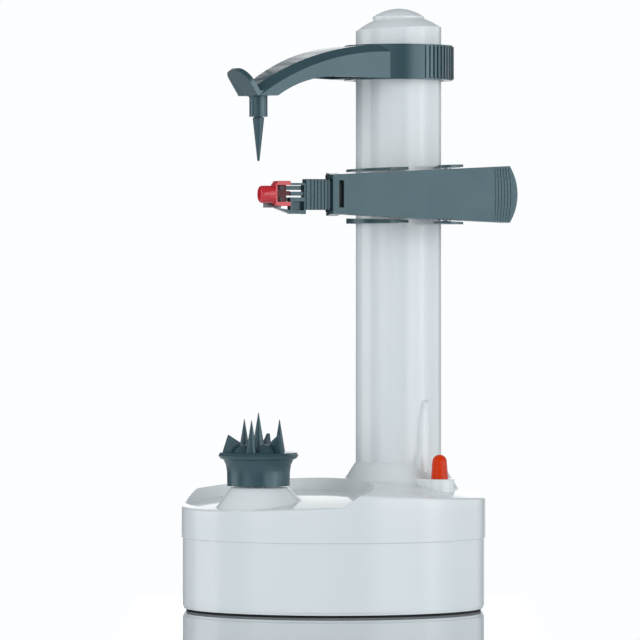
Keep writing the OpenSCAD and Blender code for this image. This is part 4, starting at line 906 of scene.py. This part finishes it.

# %% [markdown]
# The lever is a channel that is open at the back, with a slot through its face. A thin black plate
# closes the channel at the mouth and a black lining lies in the slot. Both are painted shade: dark
# sheets that stand for the shade inside the lever, instead of showing what is behind it. Both are set
# in the lever's own measures, along it and across it, and then turned with it.

# %% Painted shade in the lever's mouth and slot
def lever_point(x, y, z):
    return (LEVER_PIVOT[0] + x * math.cos(LEVER_TURN) - y * math.sin(LEVER_TURN),
            LEVER_PIVOT[1] + x * math.sin(LEVER_TURN) + y * math.cos(LEVER_TURN), z)


def lever_block(name, low, high, width):
    """A thin block with rounded edges. low, high and width are in mm."""
    corners = [lever_point(x, y, z) for z in (low[2], high[2]) for y in (low[1], high[1])
               for x in (low[0], high[0])]
    faces = [(0, 2, 3, 1), (4, 5, 7, 6), (0, 1, 5, 4), (2, 6, 7, 3), (0, 4, 6, 2), (1, 3, 7, 5)]
    thing = mesh_object(name, [[v * MM for v in corner] for corner in corners], faces)
    edge = thing.modifiers.new("radius", "BEVEL")
    edge.width = width * MM
    edge.segments = 2
    settle(thing)
    smooth(thing, 40)
    # Black, so that the block reads as painted shade.
    dress(thing, black_plastic)
    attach(thing, "lever")
    return thing


# Both blocks are painted shade: black sheets where the inside of the lever lies in shade.
mouth_shade_plate = lever_block("mouth_shade_plate", (-59.4, 4.3, 190.9), (-46.0, 5.0, 208.4), 0.15)
slot_shade_lining = lever_block("slot_shade_lining", (-56.6, -3.4, 192.3), (-52.6, -3.05, 206.3), 0.05)
for thing in (mouth_shade_plate, slot_shade_lining):
    print(thing.name, [round(v / MM, 1) for v in thing.dimensions])

# %% [markdown]
# Wire that is wound into a spring, and the thread on the lead screw, follow the same rule: a round
# section carried along a spiral. One Geometry Nodes recipe makes both. Its sizes are inputs, so each
# spring is the same tree with its own radius, wire and number of turns.

# %% Geometry Nodes: wound wire
GEOMETRY, TURN, COUNT = "NodeSocketGeometry", "NodeSocketRotation", "NodeSocketInt"
MATERIAL = ("Material", "NodeSocketMaterial", None)


def shape_tree(name, inputs):
    tree = bpy.data.node_groups.new(name, "GeometryNodeTree")
    tree.interface.new_socket("Geometry", in_out="INPUT", socket_type=GEOMETRY)
    for label, kind, value in inputs:
        socket = tree.interface.new_socket(label, in_out="INPUT", socket_type=kind)
        if value is not None:
            socket.default_value = value
    tree.interface.new_socket("Geometry", in_out="OUTPUT", socket_type=GEOMETRY)
    given = tree.nodes.new("NodeGroupInput").outputs
    return tree, given, tree.nodes.new("NodeGroupOutput").inputs


def add_node(tree, kind, **sockets):
    """Adds a node with its inputs set by name and returns its first output."""
    node = tree.nodes.new(kind)
    feed(tree, [node.inputs[label.replace("_", " ")] for label in sockets], sockets.values())
    return node.outputs[0]


def moved(tree, geometry, place):
    return add_node(tree, "GeometryNodeTransform", Geometry=geometry, Translation=place)


def spiral_wire(tree, radius, end_radius, turns, height, steps, wire):
    """A round section of radius wire, carried along a spiral."""
    spiral = add_node(tree, "GeometryNodeCurveSpiral", Resolution=steps, Rotations=turns,
                      Start_Radius=radius, End_Radius=end_radius, Height=height)
    section = add_node(tree, "GeometryNodeCurvePrimitiveCircle", Resolution=10, Radius=wire)
    return add_node(tree, "GeometryNodeCurveToMesh", Curve=spiral, Profile_Curve=section,
                    Fill_Caps=True)


def close_tree(tree, geometry, material, put):
    whole = add_node(tree, "GeometryNodeRealizeInstances", Geometry=geometry)
    dressed = add_node(tree, "GeometryNodeSetMaterial", Geometry=whole, Material=material)
    link(tree, dressed, put["Geometry"])


def make_wound_wire():
    tree, given, put = shape_tree("wound_wire", [
        ("Place", VECTOR, (0, 0, 0)), ("Radius", NUMBER, 0.003), ("End radius", NUMBER, 0.003),
        ("Wire", NUMBER, 0.0004), ("Turns", NUMBER, 5.0), ("Height", NUMBER, 0.01),
        ("Steps a turn", COUNT, 28), MATERIAL])
    wire = spiral_wire(tree, given["Radius"], given["End radius"], given["Turns"], given["Height"],
                       given["Steps a turn"], given["Wire"])
    close_tree(tree, moved(tree, wire, given["Place"]), given["Material"], put)
    return tree


wound_wire = make_wound_wire()
print("tree", wound_wire.name, len(wound_wire.nodes))

# %% [markdown]
# A tree does nothing until an object carries it. A modifier runs it on an object, its inputs are set by
# the identifier of each socket, and the result is kept as a plain mesh. The spring under the button
# then gets a mesh of its own.

# %% Springs
SPRINGS = (("button_coil", "button_spring", 0.35, 4.5), ("lever_coil", "arm_spring", 0.4, 9.0))
END_GAP = 0.3


def grow(name, tree, node, start=None, **values):
    """Runs a tree on an object, with its inputs set by identifier, and keeps the plain mesh."""
    thing = start or mesh_object(name, [(0, 0, 0)], [])
    thing.name = name
    rule = thing.modifiers.new("rule", "NODES")
    rule.node_group = tree
    names = {s.name: s.identifier for s in tree.interface.items_tree
             if s.item_type == "SOCKET" and s.in_out == "INPUT"}
    for label, value in values.items():
        rule[names[label.replace("_", " ")]] = value
    settle(thing)
    clean_faces(thing, 1e-6)
    smooth(thing, 40)
    stand_for(thing, node)
    return thing


def middle(node):
    low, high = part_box(node)
    return (low[0] + high[0]) / 2, (low[1] + high[1]) / 2, low[2], high[2]


for name, node, wire, turns in SPRINGS:
    x, y, low, high = middle(node)
    radius = (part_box(node)[1][0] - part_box(node)[0][0]) / 2 - wire * MM
    coil = grow(name, wound_wire, node, Place=(x, y, low + wire * MM), Radius=radius,
                End_radius=radius, Wire=wire * MM, Turns=turns,
                Height=high - low - (2 * wire + END_GAP) * MM, Material=steel)
    if node == "button_spring":
        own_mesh(coil)
    print(name, len(coil.data.polygons))

# %% [markdown]
# The lead screw is a rod with a round thread. Its tree joins a plain core to the same kind of
# spiral, which stops short of both ends, so pitch and depth stay two numbers.

# %% Geometry Nodes: threaded rod
def upward(tree, z):
    return add_node(tree, "ShaderNodeCombineXYZ", Z=z)


def joined(tree, *parts):
    node = tree.nodes.new("GeometryNodeJoinGeometry")
    for part in parts:
        link(tree, part, node.inputs[0])
    return node.outputs[0]


def make_threaded_rod():
    tree, given, put = shape_tree("threaded_rod", [
        ("Place", VECTOR, (0, 0, 0)), ("Core", NUMBER, 0.0034), ("Thread", NUMBER, 0.0008),
        ("Pitch", NUMBER, 0.004), ("Length", NUMBER, 0.1), ("Plain end", NUMBER, 0.01), MATERIAL])
    half = math_node(tree, "MULTIPLY", given["Length"], 0.5)
    core = add_node(tree, "GeometryNodeMeshCylinder", Vertices=40, Radius=given["Core"],
                    Depth=given["Length"])
    both_ends = math_node(tree, "MULTIPLY", given["Plain end"], 2.0)
    run = math_node(tree, "SUBTRACT", given["Length"], both_ends)
    turns = math_node(tree, "DIVIDE", run, given["Pitch"])
    ridge = spiral_wire(tree, given["Core"], given["Core"], turns, run, 24, given["Thread"])
    rod = joined(tree, moved(tree, core, upward(tree, half)),
                 moved(tree, ridge, upward(tree, given["Plain end"])))
    close_tree(tree, moved(tree, rod, given["Place"]), given["Material"], put)
    return tree


x, y, low, high = middle("lead_screw")
threaded = grow("threaded_lead_screw", make_threaded_rod(), "lead_screw", Place=(x, y, low),
                Core=3.35 * MM, Thread=0.62 * MM, Pitch=4 * MM, Length=high - low,
                Plain_end=14 * MM, Material=steel)
print("lead screw", len(threaded.data.polygons), [round(v / MM, 1) for v in threaded.dimensions])

# %% [markdown]
# Screws repeat, so one tree makes a pan head with a crossed recess and a shank, and sets it on every
# point it is given. The recess is two bars cut out of the crown.

# %% Geometry Nodes: one screw on each point
BRIM, BRIM_MIDDLE, CROWN, CROWN_TOP = 0.45, 0.775, 0.55, 0.72
RECESS_LENGTH, RECESS_DEPTH = 1.25, 1.1


def make_screws():
    tree, given, put = shape_tree("pan_head_screws", [
        ("Turn", TURN, None), ("Head", NUMBER, 0.0026), ("Head height", NUMBER, 0.0016),
        ("Shank", NUMBER, 0.0013), ("Length", NUMBER, 0.02), ("Recess", NUMBER, 0.0006), MATERIAL])

    def share(label, part):
        return math_node(tree, "MULTIPLY", given[label], part)

    disc = add_node(tree, "GeometryNodeMeshCylinder", Vertices=40, Radius=given["Head"],
                    Depth=share("Head height", BRIM))
    crown = add_node(tree, "GeometryNodeMeshCone", Vertices=40, Radius_Top=given["Head"],
                     Radius_Bottom=share("Head", CROWN_TOP), Depth=share("Head height", CROWN))
    shank = add_node(tree, "GeometryNodeMeshCylinder", Vertices=28, Radius=given["Shank"],
                     Depth=given["Length"])
    long, depth = share("Head", RECESS_LENGTH), share("Head height", RECESS_DEPTH)
    cut = tree.nodes.new("GeometryNodeMeshBoolean")
    cut.operation = "DIFFERENCE"
    cut.solver = "EXACT"
    link(tree, crown, cut.inputs[0])
    for wide, deep in ((long, given["Recess"]), (given["Recess"], long)):
        size = add_node(tree, "ShaderNodeCombineXYZ", X=wide, Y=deep, Z=depth)
        link(tree, add_node(tree, "GeometryNodeMeshCube", Size=size), cut.inputs[1])
    whole = joined(tree, cut.outputs[0],
                   moved(tree, disc, upward(tree, share("Head height", BRIM_MIDDLE))),
                   moved(tree, shank, upward(tree, share("Length", 0.5))))
    seats = add_node(tree, "GeometryNodeMeshToPoints", Mesh=given["Geometry"])
    row = add_node(tree, "GeometryNodeInstanceOnPoints", Points=seats, Instance=whole,
                   Rotation=given["Turn"])
    close_tree(tree, row, given["Material"], put)
    return tree


screw_tree = make_screws()
print("tree", screw_tree.name, len(screw_tree.nodes))

# %% [markdown]
# Where the screws sit is read from the solids, so they can't drift from their holes: each loose part
# of the node is one screw. Its box gives the seat of the head, the head's radius and the length.

# %% Screws
X, Y, Z = range(3)
# (name, node, turn of the tree's screw, axis that it lies along, whether its head is at the top end)
SCREWS = [("shell_screw_set", "shell_screws", (0, 0, 0), Z, False),
          ("plate_screw_set", "plate_screws", (math.pi, 0, 0), Z, True),
          ("nut_screw_set", "nut_screws", (math.pi / 2, 0, 0), Y, True)]
SMALL_HEAD = 2.4 * MM


def islands(node):
    """The box of each loose part of a solid, in metres."""
    work = bmesh.new()
    work.from_mesh(nodes[node].data)
    bmesh.ops.remove_doubles(work, verts=work.verts, dist=2e-6)
    boxes, seen = [], set()
    for start in work.verts:
        if start in seen:
            continue
        stack, part = [start], []
        seen.add(start)
        while stack:
            vert = stack.pop()
            part.append(vert.co.copy())
            for edge in vert.link_edges:
                other = edge.other_vert(vert)
                if other not in seen:
                    seen.add(other)
                    stack.append(other)
        boxes.append([[side(c[i] for c in part) for i in range(3)] for side in (min, max)])
    work.free()
    return boxes


for name, node, turn, along, from_top in SCREWS:
    boxes = islands(node)
    seats = []
    for low, high in boxes:
        seat = [(a + b) / 2 for a, b in zip(low, high)]
        seat[along] = high[along] if from_top else low[along]
        seats.append(seat)
    size = [b - a for a, b in zip(*boxes[0])]
    head = max(size[i] for i in range(3) if i != along) / 2
    screws = grow(name, screw_tree, node, start=mesh_object(name, seats, []), Turn=turn, Head=head,
                  Head_height=(1.0 if head < SMALL_HEAD else 1.6) * MM, Shank=head * 0.5,
                  Length=size[along], Recess=0.6 * MM, Material=steel)
    print(name, len(seats), "screws", [round(v / MM, 1) for v in size])
